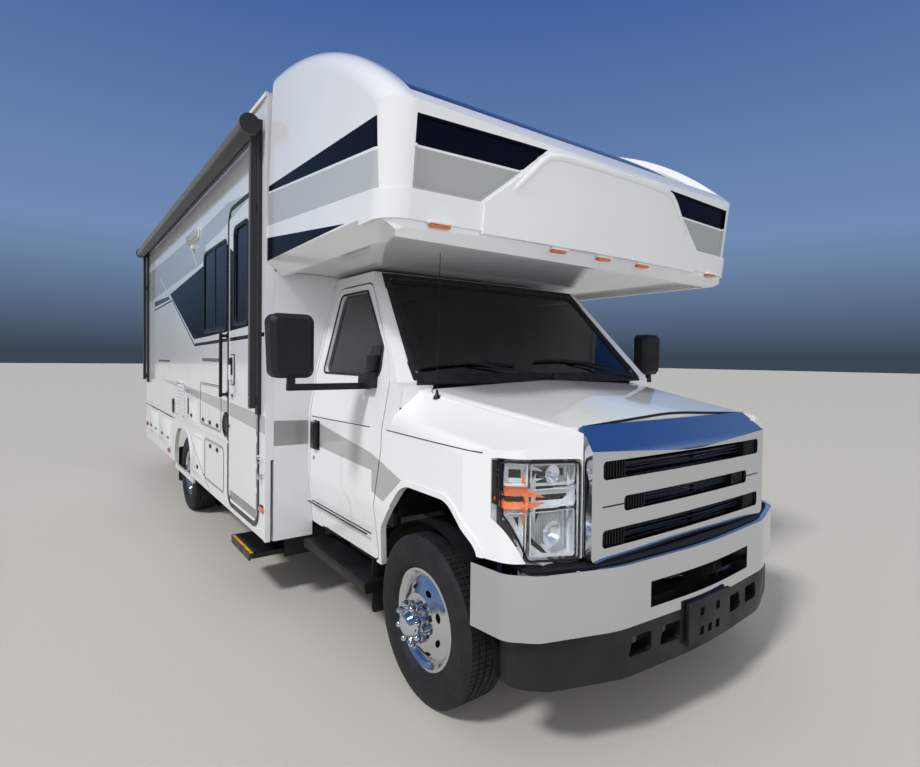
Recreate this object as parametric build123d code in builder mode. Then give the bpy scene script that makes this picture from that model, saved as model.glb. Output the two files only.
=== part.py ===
from build123d import *
import os
from math import cos, radians, sin

os.makedirs("parts", exist_ok=True)

# A 7.7 m class C motorhome: a van cab in front, a box body behind it and a sleeping cap above the cab.
# All sizes are millimetres. X is across (plus is the driver's side), Y runs from the front to the rear,
# Z is up from the ground. Stations are distances behind the front axle.

# Driving dimensions of the whole vehicle
wheelbase = 4013.0
front_overhang = 800.0
rear_overhang = 2857.0
cab_half = 1010.0
side_step = 260.0
roof_edge_z = 3090.0
roof_crown = 90.0
floor_top_z = 945.0
floor_thick = 60.0
skirt_bottom_z = 414.0
rail_z = 912.0
rail_height = 24.0
rail_proud = 8.0
wall_thick = 44.0
skirt_thick = 26.0
box_front = 1300.0
rear_bumper_depth = 120.0
door_gap = 9.0
panel_gap = 6.0
seat_gap = 1.0

# Wheels: 225/75R16 tyres, eight studs
tyre_radius = 371.5
tyre_half = 111.5
bead_radius = 206.0
bead_half = 76.0
rim_lip_radius = 222.0
front_track = 1762.0
rear_track = 1980.0
dual_spacing = 257.0
stud_circle_radius = 82.5
stud_count = 8
nut_radius = 14.0
hand_hole_count = 8

# Cab
cab_bottom_z = 500.0
belt_z = 1420.0
crease_z = 1185.0
cab_top_z = 2035.0
nose_front = -660.0
windshield_foot = 235.0
windshield_head = 800.0
windshield_bow = 40.0
door_thick = 70.0
door_skin = 20.0
frame_thick = 60.0
fender_thick = 30.0
fender_lip = 7.0
hood_thick = 28.0
glass_thick = 6.0
cab_floor_z = 745.0

# Places that follow from them
length = front_overhang + wheelbase + rear_overhang
front_axle_y = front_overhang - length / 2
box_rear = wheelbase + rear_overhang - rear_bumper_depth
body_half = cab_half + side_step
inner_half = body_half - wall_thick
cab_back = box_front + wall_thick
axle_z = tyre_radius
floor_bottom_z = floor_top_z - floor_thick
sides = ((-1, "right"), (1, "left"))


def station(distance):
    """Y coordinate of a point so far behind the front axle."""
    return front_axle_y + distance


def rounded(points, corner):
    """Closed outline through the points. A third number at a point is the radius of its corner."""
    radii = [point[2] if len(point) > 2 else corner for point in points]
    if any(radii):
        FilletPolyline(*[point[:2] for point in points], radius=radii, close=True)
    else:
        Polyline(*[point[:2] for point in points], close=True)


def side_prism(outline, x_low, x_high, corner=0.0, grow=0.0):
    """Solid between two X planes, drawn in side view as (station, height) points."""
    with BuildPart() as prism:
        with BuildSketch(Plane.YZ.offset(x_low)):
            with BuildLine():
                rounded([(station(point[0]), *point[1:]) for point in outline], corner)
            make_face()
            if grow:
                offset(amount=grow, kind=Kind.INTERSECTION)
        extrude(amount=x_high - x_low)
    return prism.part


def front_prism(outline, station_low, station_high, corner=0.0, grow=0.0):
    """Solid between two stations, drawn in front view as (x, height) points."""
    with BuildPart() as prism:
        with BuildSketch(Plane.XZ.offset(-station(station_high))):
            with BuildLine():
                rounded(outline, corner)
            make_face()
            if grow:
                offset(amount=grow, kind=Kind.INTERSECTION)
        extrude(amount=station_high - station_low)
    return prism.part


def plan_prism(outline, z_low, z_high, corner=0.0, grow=0.0):
    """Upright solid, drawn in plan view as (x, station) points."""
    with BuildPart() as prism:
        with BuildSketch(Plane.XY.offset(z_low)):
            with BuildLine():
                rounded([(point[0], station(point[1]), *point[2:]) for point in outline], corner)
            make_face()
            if grow:
                offset(amount=grow, kind=Kind.INTERSECTION)
        extrude(amount=z_high - z_low)
    return prism.part


def block(x_range, station_range, z_range, corner=0.0):
    """Box between two values on each axis, with its upright edges rounded by the corner radius."""
    x_low, x_high = sorted(x_range)
    station_low, station_high = sorted(station_range)
    outline = [(x_low, station_low), (x_high, station_low), (x_high, station_high), (x_low, station_high)]
    return plan_prism(outline, min(z_range), max(z_range), corner)


def mirrored(outline):
    """Closed outline of a symmetric section from the points of its right half, bottom to top."""
    left = [(-point[0], *point[1:]) for point in outline if point[0]]
    return left + list(reversed(outline))


def on_side(side, outline):
    """Front view or plan outline of the driver's side moved to the given side."""
    return [(side * point[0], *point[1:]) for point in outline]


def wheel_plane(side, x, wheel_station):
    """Section plane of a wheel: outward along the axle, and up along the radius."""
    return Plane(origin=(side * x, station(wheel_station), axle_z), x_dir=(side, 0, 0), z_dir=(0, -side, 0))


def across(side, x, at_station, z):
    """Plane that looks outwards along the axle from the given point."""
    return Plane(origin=(side * x, station(at_station), z), x_dir=(0, 1, 0), z_dir=(side, 0, 0))


def rod(start, end, radius):
    """Round bar between two (x, station, height) points."""
    first = Vector(start[0], station(start[1]), start[2])
    last = Vector(end[0], station(end[1]), end[2])
    with BuildPart() as bar:
        with BuildSketch(Plane(origin=first, z_dir=last - first)):
            Circle(radius)
        extrude(amount=(last - first).length)
    return bar.part


# Cab form: a nose lofted between two sections, and a cabin cut from side, front and plan outlines
sill_tuck = 35.0
belt_tuck = 35.0
header_tuck = 184.0
nose_half = cab_half - 8.0
nose_flat_half = 640.0
nose_sections = (
    # station, half width, shoulder height, top half width, top side height, crown height
    (nose_front - 60.0, nose_half, 1165.0, nose_flat_half, 1250.0, 1284.0),
    (windshield_foot + 10.0, cab_half, 1250.0, cab_half - 170.0, 1395.0, 1434.0),
)
shoulder_round = 70.0
hood_side_round = 110.0
cab_plan = (
    # x, station, corner radius
    (-cab_half, cab_back, 0.0),
    (-cab_half, -320.0, 260.0),
    (-nose_half + 60.0, -560.0, 120.0),
    (-nose_flat_half, nose_front, 200.0),
    (nose_flat_half, nose_front, 200.0),
    (nose_half - 60.0, -560.0, 120.0),
    (cab_half, -320.0, 260.0),
    (cab_half, cab_back, 0.0),
)
cabin_half_section = (
    # half width, height, corner radius
    (cab_half - sill_tuck, cab_bottom_z, 0.0),
    (cab_half, 800.0, 300.0),
    (cab_half, crease_z, 90.0),
    (cab_half - belt_tuck, belt_z, 400.0),
    (cab_half - header_tuck, cab_top_z, 0.0),
)


def nose_form(inset):
    """Outer form of the nose, with each side moved inwards by the inset."""
    with BuildPart() as nose:
        for s, half, shoulder_z, top_half, side_z, crown_z in nose_sections:
            section = (
                (half, cab_bottom_z, 0.0), (half, shoulder_z, shoulder_round),
                (top_half, side_z, hood_side_round),
                (0.0, crown_z, 2500.0),
            )
            with BuildSketch(Plane.XZ.offset(-station(s))):
                with BuildLine():
                    rounded(mirrored(section), 0.0)
                make_face()
                if inset:
                    offset(amount=-inset, kind=Kind.INTERSECTION)
        loft(ruled=True)
        add(plan_prism(cab_plan, 0.0, cab_top_z, grow=-inset), mode=Mode.INTERSECT)
    return nose.part


def bowed_front(half, foot, bow):
    """Plan sketch of the space behind a bowed line whose ends stand at the foot station."""
    with BuildSketch() as plan:
        with BuildLine():
            ThreePointArc((-half, station(foot)), (0.0, station(foot - bow)), (half, station(foot)))
            Polyline(
                (half, station(foot)), (half, station(cab_back + 1200.0)),
                (-half, station(cab_back + 1200.0)), (-half, station(foot)),
            )
        make_face()
    return plan.sketch


def cabin_form(inset):
    """Outer form of the cabin behind the nose, or the same form with each side moved inwards."""
    side_view = (
        (windshield_foot - windshield_bow, cab_bottom_z), (windshield_foot - windshield_bow, cab_top_z),
        (cab_back, cab_top_z), (cab_back, cab_bottom_z),
    )
    lean = Vector(0, windshield_head - windshield_foot, cab_top_z - belt_z)
    slope_shift = inset * lean.length / lean.Z
    with BuildPart() as cabin:
        add(side_prism(side_view, -cab_half, cab_half, grow=-inset))
        add(front_prism(mirrored(cabin_half_section), 0.0, cab_back, grow=-inset), mode=Mode.INTERSECT)
        with BuildSketch(Plane.XY.offset(belt_z)):
            add(bowed_front(cab_half, windshield_foot + slope_shift, windshield_bow))
        extrude(amount=1500.0, dir=lean, both=True, mode=Mode.INTERSECT)
    return cabin.part


cab_door_outline = (
    # station, height, corner radius
    (405.0, 516.0, 40.0),
    (410.0, 810.0, 150.0),
    (338.0, 1090.0, 200.0),
    (318.0, 1420.0, 60.0),
    (400.0, 1560.0, 60.0),
    (765.0, 1962.0, 110.0),
    (1180.0, 1962.0, 90.0),
    (1262.0, 1860.0, 150.0),
    (1266.0, 740.0, 150.0),
    (1090.0, 516.0, 110.0),
)
cab_window_outline = (
    # station, height, corner radius
    (430.0, 1452.0, 20.0), (462.0, 1590.0, 40.0), (800.0, 1915.0, 50.0), (1140.0, 1915.0, 50.0),
    (1150.0, 1452.0, 40.0),
)

# Wheels and tyres, turned from half sections
tread_half = 84.0
tyre_section = (
    # outward from the tyre's middle, radius
    (-bead_half, bead_radius), (-tyre_half, 292.0), (-tyre_half + 7.0, 344.0), (-tread_half, tyre_radius),
    (tread_half, tyre_radius), (tyre_half - 7.0, 344.0), (tyre_half, 292.0), (bead_half, bead_radius),
)
barrel_radius = bead_radius - 16.0
lip_section = (
    # the rim's bead seat and rolled lip, outward from the tyre's middle, radius
    (-bead_half, barrel_radius), (-bead_half, bead_radius), (bead_half, bead_radius),
    (bead_half + 7.5, rim_lip_radius), (bead_half + 12.0, rim_lip_radius),
    (bead_half + 14.0, bead_radius + 4.0),
)
hub_disc_out = 112.0
front_rim_section = (
    *lip_section,
    (78.0, 194.0), (70.0, 188.0), (86.0, 160.0), (108.0, 116.0), (hub_disc_out, 100.0), (hub_disc_out, 62.0),
    (134.0, 56.0), (146.0, 42.0), (150.0, 20.0), (150.0, 0.0), (76.0, 0.0), (76.0, 116.0), (54.0, 168.0),
    (40.0, barrel_radius),
)
dish_in = -44.0
rear_outer_rim_section = (
    *lip_section,
    (76.0, 196.0), (10.0, 184.0), (-30.0, 172.0), (-52.0, 132.0), (dish_in, 104.0), (dish_in, 66.0),
    (20.0, 60.0), (32.0, 48.0), (34.0, 20.0), (34.0, 0.0), (-64.0, 0.0), (-64.0, 150.0),
    (-46.0, barrel_radius),
)
rear_inner_rim_section = (
    (-bead_half, bead_radius), (bead_half, bead_radius), (bead_half, barrel_radius), (-50.0, barrel_radius),
    (-50.0, 100.0), (-bead_half, 100.0),
)


def revolved(section, plane):
    """Ring or disc turned about the axle from its (outward, radius) section."""
    with BuildPart() as ring:
        with BuildSketch(plane):
            with BuildLine():
                Polyline(*section, close=True)
            make_face()
        revolve(axis=Axis(plane.origin, (1, 0, 0)))
    return ring.part


def stud_nuts(side, x, wheel_station, outward_low, outward_high):
    """Ring of wheel nuts standing out of the wheel's face."""
    with BuildPart() as nuts:
        with BuildSketch(across(side, x + outward_low, wheel_station, axle_z)):
            with PolarLocations(stud_circle_radius, stud_count):
                RegularPolygon(nut_radius, 6)
        extrude(amount=outward_high - outward_low, taper=4)
    return nuts.part


def hand_holes(side, x, wheel_station, circle_radius, outward_low, outward_high):
    """Ring of oval holes through a wheel's face."""
    with BuildPart() as holes:
        with BuildSketch(across(side, x + outward_low, wheel_station, axle_z)):
            with PolarLocations(circle_radius, hand_hole_count, start_angle=180.0 / hand_hole_count):
                Ellipse(10.0, 21.0)
        extrude(amount=outward_high - outward_low)
    return holes.part


front_wheel_x = front_track / 2
rear_outer_x = (rear_track + dual_spacing) / 2
rear_inner_x = (rear_track - dual_spacing) / 2

for side, name in sides:
    with BuildPart() as front_tyre:
        add(revolved(tyre_section, wheel_plane(side, front_wheel_x, 0.0)))
    front_tyre.part.label = f"front_tyre_{name}"
    export_step(front_tyre.part, f"parts/front_tyre_{name}.step")

    with BuildPart() as front_wheel:
        add(revolved(front_rim_section, wheel_plane(side, front_wheel_x, 0.0)))
        add(hand_holes(side, front_wheel_x, 0.0, 143.0, 30.0, 160.0), mode=Mode.SUBTRACT)
        add(stud_nuts(side, front_wheel_x, 0.0, hub_disc_out - 4.0, hub_disc_out + 34.0))
    front_wheel.part.label = f"front_wheel_{name}"
    export_step(front_wheel.part, f"parts/front_wheel_{name}.step")

    with BuildPart() as rear_tyres:
        add(revolved(tyre_section, wheel_plane(side, rear_outer_x, wheelbase)))
        add(revolved(tyre_section, wheel_plane(side, rear_inner_x, wheelbase)))
    rear_tyres.part.label = f"rear_tyres_{name}"
    export_step(rear_tyres.part, f"parts/rear_tyres_{name}.step")

    with BuildPart() as rear_wheels:
        add(revolved(rear_outer_rim_section, wheel_plane(side, rear_outer_x, wheelbase)))
        add(revolved(rear_inner_rim_section, wheel_plane(side, rear_inner_x, wheelbase)))
        add(hand_holes(side, rear_outer_x, wheelbase, 150.0, -130.0, 20.0), mode=Mode.SUBTRACT)
        add(stud_nuts(side, rear_outer_x, wheelbase, dish_in - 4.0, dish_in + 34.0))
        with BuildSketch(across(side, rear_inner_x - bead_half, wheelbase, axle_z)):
            Circle(116.0)
        extrude(amount=dual_spacing + bead_half - 64.0)
    rear_wheels.part.label = f"rear_wheels_{name}"
    export_step(rear_wheels.part, f"parts/rear_wheels_{name}.step")

# Steered knuckles: two lugs above and below the beam's eye, joined by a web that carries the spindle
kingpin_x = front_wheel_x - 91.0
eye_radius = 40.0
eye_half = 52.0
pin_gap = 5.0
lug_half = 92.0
web_x = kingpin_x + eye_radius + 6.0
web_thick = 24.0
spindle_radius = 36.0
brake_radius = 150.0
spindle_end_x = front_wheel_x + 70.0
for side, name in sides:
    with BuildPart() as knuckle:
        for low, high in ((-lug_half, -eye_half - pin_gap), (eye_half + pin_gap, lug_half)):
            with BuildSketch(Plane.XY.offset(axle_z + low)):
                with Locations((side * kingpin_x, station(0.0))):
                    Circle(eye_radius)
                with Locations((side * (kingpin_x + web_x + web_thick) / 2, station(0.0))):
                    Rectangle(web_x + web_thick - kingpin_x, 2 * eye_radius)
            extrude(amount=high - low)
        add(block((side * web_x, side * (web_x + web_thick)), (-eye_radius, eye_radius),
                  (axle_z - lug_half, axle_z + lug_half)))
        with BuildSketch(across(side, web_x + web_thick / 2, 0.0, axle_z)):
            Circle(spindle_radius)
        extrude(amount=spindle_end_x - web_x - web_thick / 2)
        with BuildSketch(across(side, web_x + web_thick / 2, 0.0, axle_z)):
            Circle(brake_radius)
        extrude(amount=web_thick)
    knuckle.part.label = f"knuckle_{name}"
    export_step(knuckle.part, f"parts/knuckle_{name}.step")

# Chassis frame: two channel rails with crossmembers and the outriggers that carry the box floor
rail_half = 432.0
rail_bottom_z = 560.0
rail_top_z = 740.0
channel_width = 70.0
channel_web = 10.0
frame_front = -580.0
frame_rear = box_rear - 60.0
crossmember_half = 30.0
outrigger_half = 20.0
crossmember_stations = (-545.0, box_front - 10.0, 2000.0, 2700.0, 3500.0, 4600.0, 5600.0, 6500.0)
outrigger_stations = (box_front + 100.0, 2450.0, 3300.0, 4700.0, 5600.0, 6500.0)
outrigger_reach = body_half - 120.0
with BuildPart() as chassis_frame:
    for side, name in sides:
        add(block((side * (rail_half - channel_web), side * rail_half), (frame_front, frame_rear),
                  (rail_bottom_z, rail_top_z)))
        for z in (rail_bottom_z, rail_top_z - channel_web):
            add(block((side * (rail_half - channel_width), side * rail_half), (frame_front, frame_rear),
                      (z, z + channel_web)))
    for s in crossmember_stations:
        add(block((-rail_half + 5.0, rail_half - 5.0), (s - crossmember_half, s + crossmember_half),
                  (rail_bottom_z + 20.0, rail_top_z - 20.0)))
    for s in outrigger_stations:
        add(block((-outrigger_reach, outrigger_reach), (s - outrigger_half, s + outrigger_half),
                  (rail_top_z, floor_bottom_z)))
chassis_frame.part.label = "chassis_frame"
export_step(chassis_frame.part, "parts/chassis_frame.step")

# Twin front beams, one behind the other, each crossing from its hanger to the far knuckle
beam_offset = 48.0
beam_half = 36.0
beam_clear = 100.0
hanger_x = 300.0
with BuildPart() as front_axle_beams:
    for side, name in sides:
        near = side * beam_offset
        add(front_prism(
            [(side * kingpin_x, axle_z - eye_half), (side * kingpin_x, axle_z + eye_half),
             (-side * hanger_x, axle_z + 20.0), (-side * hanger_x, axle_z - 60.0)],
            near - beam_half, near + beam_half,
        ))
        add(block((side * (kingpin_x - 2 * eye_radius), side * (kingpin_x + eye_radius)),
                  (-beam_clear, beam_clear),
                  (axle_z - beam_clear, axle_z + beam_clear)), mode=Mode.SUBTRACT)
        # the neck joins the beam's end to the eye, which stands on the axle's line
        add(block((side * (kingpin_x - 90.0), side * (kingpin_x - 50.0)),
                  (near + side * beam_half, -side * eye_radius),
                  (axle_z - eye_half, axle_z + eye_half)))
        add(block((side * (kingpin_x - 90.0), side * (kingpin_x - 30.0)), (-eye_radius, eye_radius),
                  (axle_z - eye_half, axle_z + eye_half)))
        with BuildSketch(Plane.XY.offset(axle_z - eye_half)):
            with Locations((side * kingpin_x, station(0.0))):
                Circle(eye_radius)
        extrude(amount=2 * eye_half)
        add(block((side * (hanger_x - 60.0), side * (hanger_x + 30.0)),
                  (-near - beam_half, -near + beam_half),
                  (axle_z - 60.0, rail_bottom_z - 30.0)))
    add(block((-rail_half, rail_half), (-beam_clear, beam_clear), (rail_bottom_z - 40.0, rail_bottom_z)))
front_axle_beams.part.label = "front_axle_beams"
export_step(front_axle_beams.part, "parts/front_axle_beams.step")

# Rear axle housing with its differential, leaf springs and the propeller shaft
axle_tube_radius = 55.0
axle_half = rear_inner_x - bead_half - 6.0
spring_x = 520.0
spring_half_width = 40.0
spring_half_length = 650.0
differential_radius = 175.0
shaft_front = box_front - 50.0
shaft_front_z = 480.0
with BuildPart() as rear_axle:
    add(rod((-axle_half, wheelbase, axle_z), (axle_half, wheelbase, axle_z), axle_tube_radius))
    with Locations((0.0, station(wheelbase), axle_z)):
        Sphere(differential_radius)
    for side, name in sides:
        near, far = side * (spring_x - spring_half_width), side * (spring_x + spring_half_width)
        for leaf, share in enumerate((1.0, 0.72, 0.45)):
            reach = spring_half_length * share
            leaf_top = axle_z + 100.0 - 17.0 * leaf
            add(block((near, far), (wheelbase - reach, wheelbase + reach), (leaf_top - 17.0, leaf_top)))
        for end in (-spring_half_length + 30.0, spring_half_length - 30.0):
            add(block((side * rail_half, far), (wheelbase + end - 30.0, wheelbase + end + 30.0),
                      (axle_z + 90.0, rail_bottom_z + 80.0)))
    add(rod((0.0, shaft_front, shaft_front_z), (0.0, wheelbase - 100.0, axle_z + 4.0), 45.0))
rear_axle.part.label = "rear_axle"
export_step(rear_axle.part, "parts/rear_axle.step")

# Engine with its gearbox, one plain mass between the rails
engine_half = 300.0
engine_rear = 420.0
engine_bottom_z = 600.0
engine_top_z = 1080.0
gearbox_bottom_z = 420.0
with BuildPart() as engine_block:
    add(block((-engine_half, engine_half), (-330.0, engine_rear), (engine_bottom_z, engine_top_z)))
    add(block((-180.0, 180.0), (engine_rear, shaft_front - 10.0), (gearbox_bottom_z, rail_top_z - 60.0)))
engine_block.part.label = "engine_block"
export_step(engine_block.part, "parts/engine_block.step")

# Fuel and holding tanks hung under the floor
with BuildPart() as underfloor_tanks:
    add(block((-340.0, 340.0), (wheelbase + 780.0, wheelbase + 1550.0), (470.0, rail_top_z - 20.0), 60.0))
    add(block((rail_half + 68.0, outrigger_reach - 20.0), (1700.0, 2900.0), (480.0, rail_top_z), 60.0))
underfloor_tanks.part.label = "underfloor_tanks"
export_step(underfloor_tanks.part, "parts/underfloor_tanks.step")

# Grille: a bright sloped header over three slots, on a frame that stands in front of the radiator
grille_half = 660.0
grille_bottom_z = 763.0
header_front_z = 1185.0
header_back_z = 1278.0
header_back = -604.0
grille_front = -712.0
grille_bow = 18.0
grille_depth = 60.0
slot_round = 18.0
grille_slots = (
    # half width, low, high
    (600.0, 812.0, 882.0),
    (478.0, 943.0, 1004.0),
    (600.0, 1077.0, 1150.0),
)
grille_side = (
    # station, height, corner radius
    (grille_front + grille_depth, grille_bottom_z, 0.0),
    (grille_front, grille_bottom_z, 12.0),
    (grille_front, header_front_z - 10.0, 60.0),
    (header_back, header_back_z, 0.0),
    (header_back + 8.0, header_back_z - 8.0, 0.0),
    (grille_front + grille_depth, header_front_z - 40.0, 0.0),
)
grille_face = (
    # x, height, corner radius
    (grille_half, grille_bottom_z, 30.0), (grille_half, header_front_z + 10.0, 60.0),
    (grille_half - 42.0, header_back_z + 4.0, 0.0),
)
with BuildPart() as grille:
    add(side_prism(grille_side, -grille_half, grille_half))
    add(front_prism(mirrored(grille_face), grille_front - 20.0, header_back + 40.0), mode=Mode.INTERSECT)
    with BuildSketch(Plane.XY.offset(grille_bottom_z)):
        add(bowed_front(grille_half + 12.0, grille_front + grille_bow, grille_bow))
    extrude(amount=header_back_z, mode=Mode.INTERSECT)
    for half, low, high in grille_slots:
        add(front_prism(
            ((-half, low), (half, low), (half, high), (-half, high)), grille_front - 20.0,
            header_back + 40.0, slot_round,
        ), mode=Mode.SUBTRACT)
    # fine joints where the middle bars meet the frame
    for side, name in sides:
        add(block((side * 478.0, side * 604.0), (grille_front - 20.0, grille_front + 8.0), (971.0, 976.0)),
            mode=Mode.SUBTRACT)
grille.part.label = "grille"
export_step(grille.part, "parts/grille.step")

# Radiator with the panel that carries the lamps and grille, and the dark fins seen in the grille's slots
support_rear = -430.0
support_thick = 26.0
support_half = 900.0
support_top_z = 1110.0
fin_front = grille_front + grille_depth + 4.0
fin_thick = 5.0
fins_in_slot = 3
with BuildPart() as radiator_support:
    add(block((-support_half, support_half), (support_rear - support_thick, support_rear),
              (rail_top_z, support_top_z)))
    add(block((-350.0, 350.0), (support_rear - 80.0, support_rear - support_thick),
              (600.0, support_top_z - 10.0)))
    for side, name in sides:
        add(block((side * 590.0, side * 640.0), (fin_front + 32.0, support_rear - support_thick),
                  (780.0, support_top_z + 70.0)))
        add(block((side * 590.0, side * 640.0), (support_rear - support_thick, support_rear),
                  (support_top_z, support_top_z + 70.0)))
    for half, low, high in grille_slots:
        for fin in range(fins_in_slot):
            z = low + (high - low) * (fin + 0.5) / fins_in_slot
            add(block((-600.0, 600.0), (fin_front, fin_front + 22.0), (z - fin_thick, z + fin_thick)))
radiator_support.part.label = "radiator_support"
export_step(radiator_support.part, "parts/radiator_support.step")

# Nose panels cut from the nose form
lamp_outline = (
    # x, height, corner radius
    (668.0, 768.0, 20.0), (884.0, 778.0, 30.0), (984.0, 976.0, 60.0), (974.0, 1168.0, 24.0),
    (668.0, 1158.0, 20.0),
)
lamp_rear = -470.0
lamp_depth = 96.0
lamp_gap = 3.0
hood_front = -590.0
hood_rear = windshield_foot - 42.0
hood_outline = (
    # x, station, corner radius
    (-cab_half + 178.0, hood_rear, 46.0), (-708.0, -520.0, 60.0), (-grille_half + 30.0, hood_front, 0.0),
    (grille_half - 30.0, hood_front, 0.0), (708.0, -520.0, 60.0), (cab_half - 178.0, hood_rear, 46.0),
)
hood_bottom_z = 1150.0
wheel_arch_outline = (
    # station, height, corner radius
    (-480.0, 380.0, 0.0), (-408.0, 806.0, 90.0), (-236.0, 958.0, 130.0), (122.0, 958.0, 170.0),
    (352.0, 700.0, 120.0), (398.0, 380.0, 0.0),
)
arch_lip = 26.0
fender_bottom_z = 779.0
side_reach = (500.0, cab_half + 60.0)
nose_shell = nose_form(0.0) - nose_form(fender_thick)

with BuildPart() as hood:
    add(nose_form(0.0))
    add(nose_form(hood_thick), mode=Mode.SUBTRACT)
    add(plan_prism(hood_outline, hood_bottom_z, cab_top_z), mode=Mode.INTERSECT)
hood.part.label = "hood"
export_step(hood.part, "parts/hood.step")

# Strips of the fenders behind the wheels, up to the doors' front edges
fender_rear = 430.0
cabin_skin = cabin_form(0.0) - cabin_form(fender_thick)
raised_arch = nose_form(-fender_lip) - nose_form(fender_thick)
for side, name in sides:
    outward = sorted((side * side_reach[0], side * side_reach[1]))
    with BuildPart() as fender:
        # the raised lip round the wheel arch follows the fender's own form
        add(raised_arch)
        add(side_prism(wheel_arch_outline, *outward, grow=arch_lip), mode=Mode.INTERSECT)
        add(nose_shell)
        add(block((side * side_reach[0], side * side_reach[1]), (nose_front - 20.0, windshield_foot),
                  (cab_bottom_z, cab_top_z)), mode=Mode.INTERSECT)
        add(cabin_skin & block((side * (cab_half - 68.0), side * side_reach[1]),
                               (windshield_foot, fender_rear),
                               (cab_bottom_z, belt_z)))
        add(side_prism(cab_door_outline, *outward, grow=door_gap), mode=Mode.SUBTRACT)
        add(side_prism(wheel_arch_outline, *outward), mode=Mode.SUBTRACT)
        add(plan_prism(hood_outline, hood_bottom_z, cab_top_z, grow=panel_gap), mode=Mode.SUBTRACT)
        add(front_prism(on_side(side, lamp_outline), nose_front - 200.0, lamp_rear + lamp_gap,
                        grow=lamp_gap),
            mode=Mode.SUBTRACT)
        add(block((-grille_half - 4.0, grille_half + 4.0), (nose_front - 200.0, hood_front + 30.0),
                  (700.0, 1400.0)),
            mode=Mode.SUBTRACT)
        add(block((-cab_half + 210.0, cab_half - 210.0), (hood_rear - 15.0, windshield_foot + 60.0),
                  (1100.0, 1500.0)),
            mode=Mode.SUBTRACT)
        add(block((-cab_half - 90.0, cab_half + 90.0), (nose_front - 200.0, -380.0),
                  (cab_bottom_z - 10.0, fender_bottom_z)),
            mode=Mode.SUBTRACT)
    fender.part.label = f"fender_{name}"
    export_step(fender.part, f"parts/fender_{name}.step")

# Headlamps wrap round the corners of the nose
lamp_back = (
    # x, station
    (cab_half - lamp_depth, lamp_rear + 10.0), (cab_half - lamp_depth, nose_front + 190.0),
    (nose_half - 130.0, nose_front + lamp_depth), (600.0, nose_front + lamp_depth),
    (600.0, lamp_rear + 10.0),
)
with BuildPart() as lamp_windows:
    for side, name in sides:
        add(front_prism(on_side(side, lamp_outline), nose_front - 200.0, lamp_rear))
with BuildPart() as headlamps:
    add(nose_form(2.0))
    add(lamp_windows.part, mode=Mode.INTERSECT)
    for side, name in sides:
        add(plan_prism(on_side(side, lamp_back), 700.0, 1200.0), mode=Mode.SUBTRACT)
headlamps.part.label = "headlamps"
export_step(headlamps.part, "parts/headlamps.step")

# Bumper: a bright beam curved in plan, with a slot, and the dark valance with its plate bracket below
bumper_end = -385.0
bumper_top_z = 752.0
bumper_bottom_z = 505.0
bumper_thick = 62.0
bumper_half = 996.0
bumper_edge = (
    # x, station, corner radius
    (bumper_half, bumper_end, 0.0), (bumper_half - 24.0, -560.0, 90.0), (880.0, -645.0, 110.0),
    (560.0, -752.0, 500.0), (0.0, -front_overhang + 8.0, 3000.0),
)


def bumper_ring(scale_x, grow, z_low, z_high):
    """Band that follows the bumper's line in plan, from its outer edge to the inner edge."""
    inner = [(point[0] * scale_x, point[1] + bumper_thick * 1.1, point[2]) for point in bumper_edge]
    outer = [(point[0] * scale_x, *point[1:]) for point in bumper_edge]
    closed_outer = mirrored([(outer[0][0], bumper_end, 0.0)] + outer[1:])
    with BuildPart() as ring:
        add(plan_prism(closed_outer, z_low, z_high, grow=grow))
        shrunk = mirrored([(inner[0][0] - bumper_thick, bumper_end + 200.0, 0.0)]
                          + [((x - bumper_thick if x else 0.0), s, r) for x, s, r in inner[1:]])
        add(plan_prism(shrunk, z_low - 10.0, z_high + 10.0), mode=Mode.SUBTRACT)
    return ring.part


with BuildPart() as front_bumper:
    add(bumper_ring(1.0, 0.0, bumper_bottom_z, bumper_top_z))
    # the top edge slopes back from the face
    add(block((-380.0, 380.0), (-front_overhang - 20.0, -640.0), (556.0, 660.0)), mode=Mode.SUBTRACT)
    for side, name in sides:
        add(block((side * (rail_half - 60.0), side * (rail_half - channel_web - 0.5)),
                  (-700.0, frame_front + 4.0),
                  (rail_top_z - 100.0, rail_top_z - 20.0)))
front_bumper.part.label = "front_bumper"
export_step(front_bumper.part, "parts/front_bumper.step")

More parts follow.
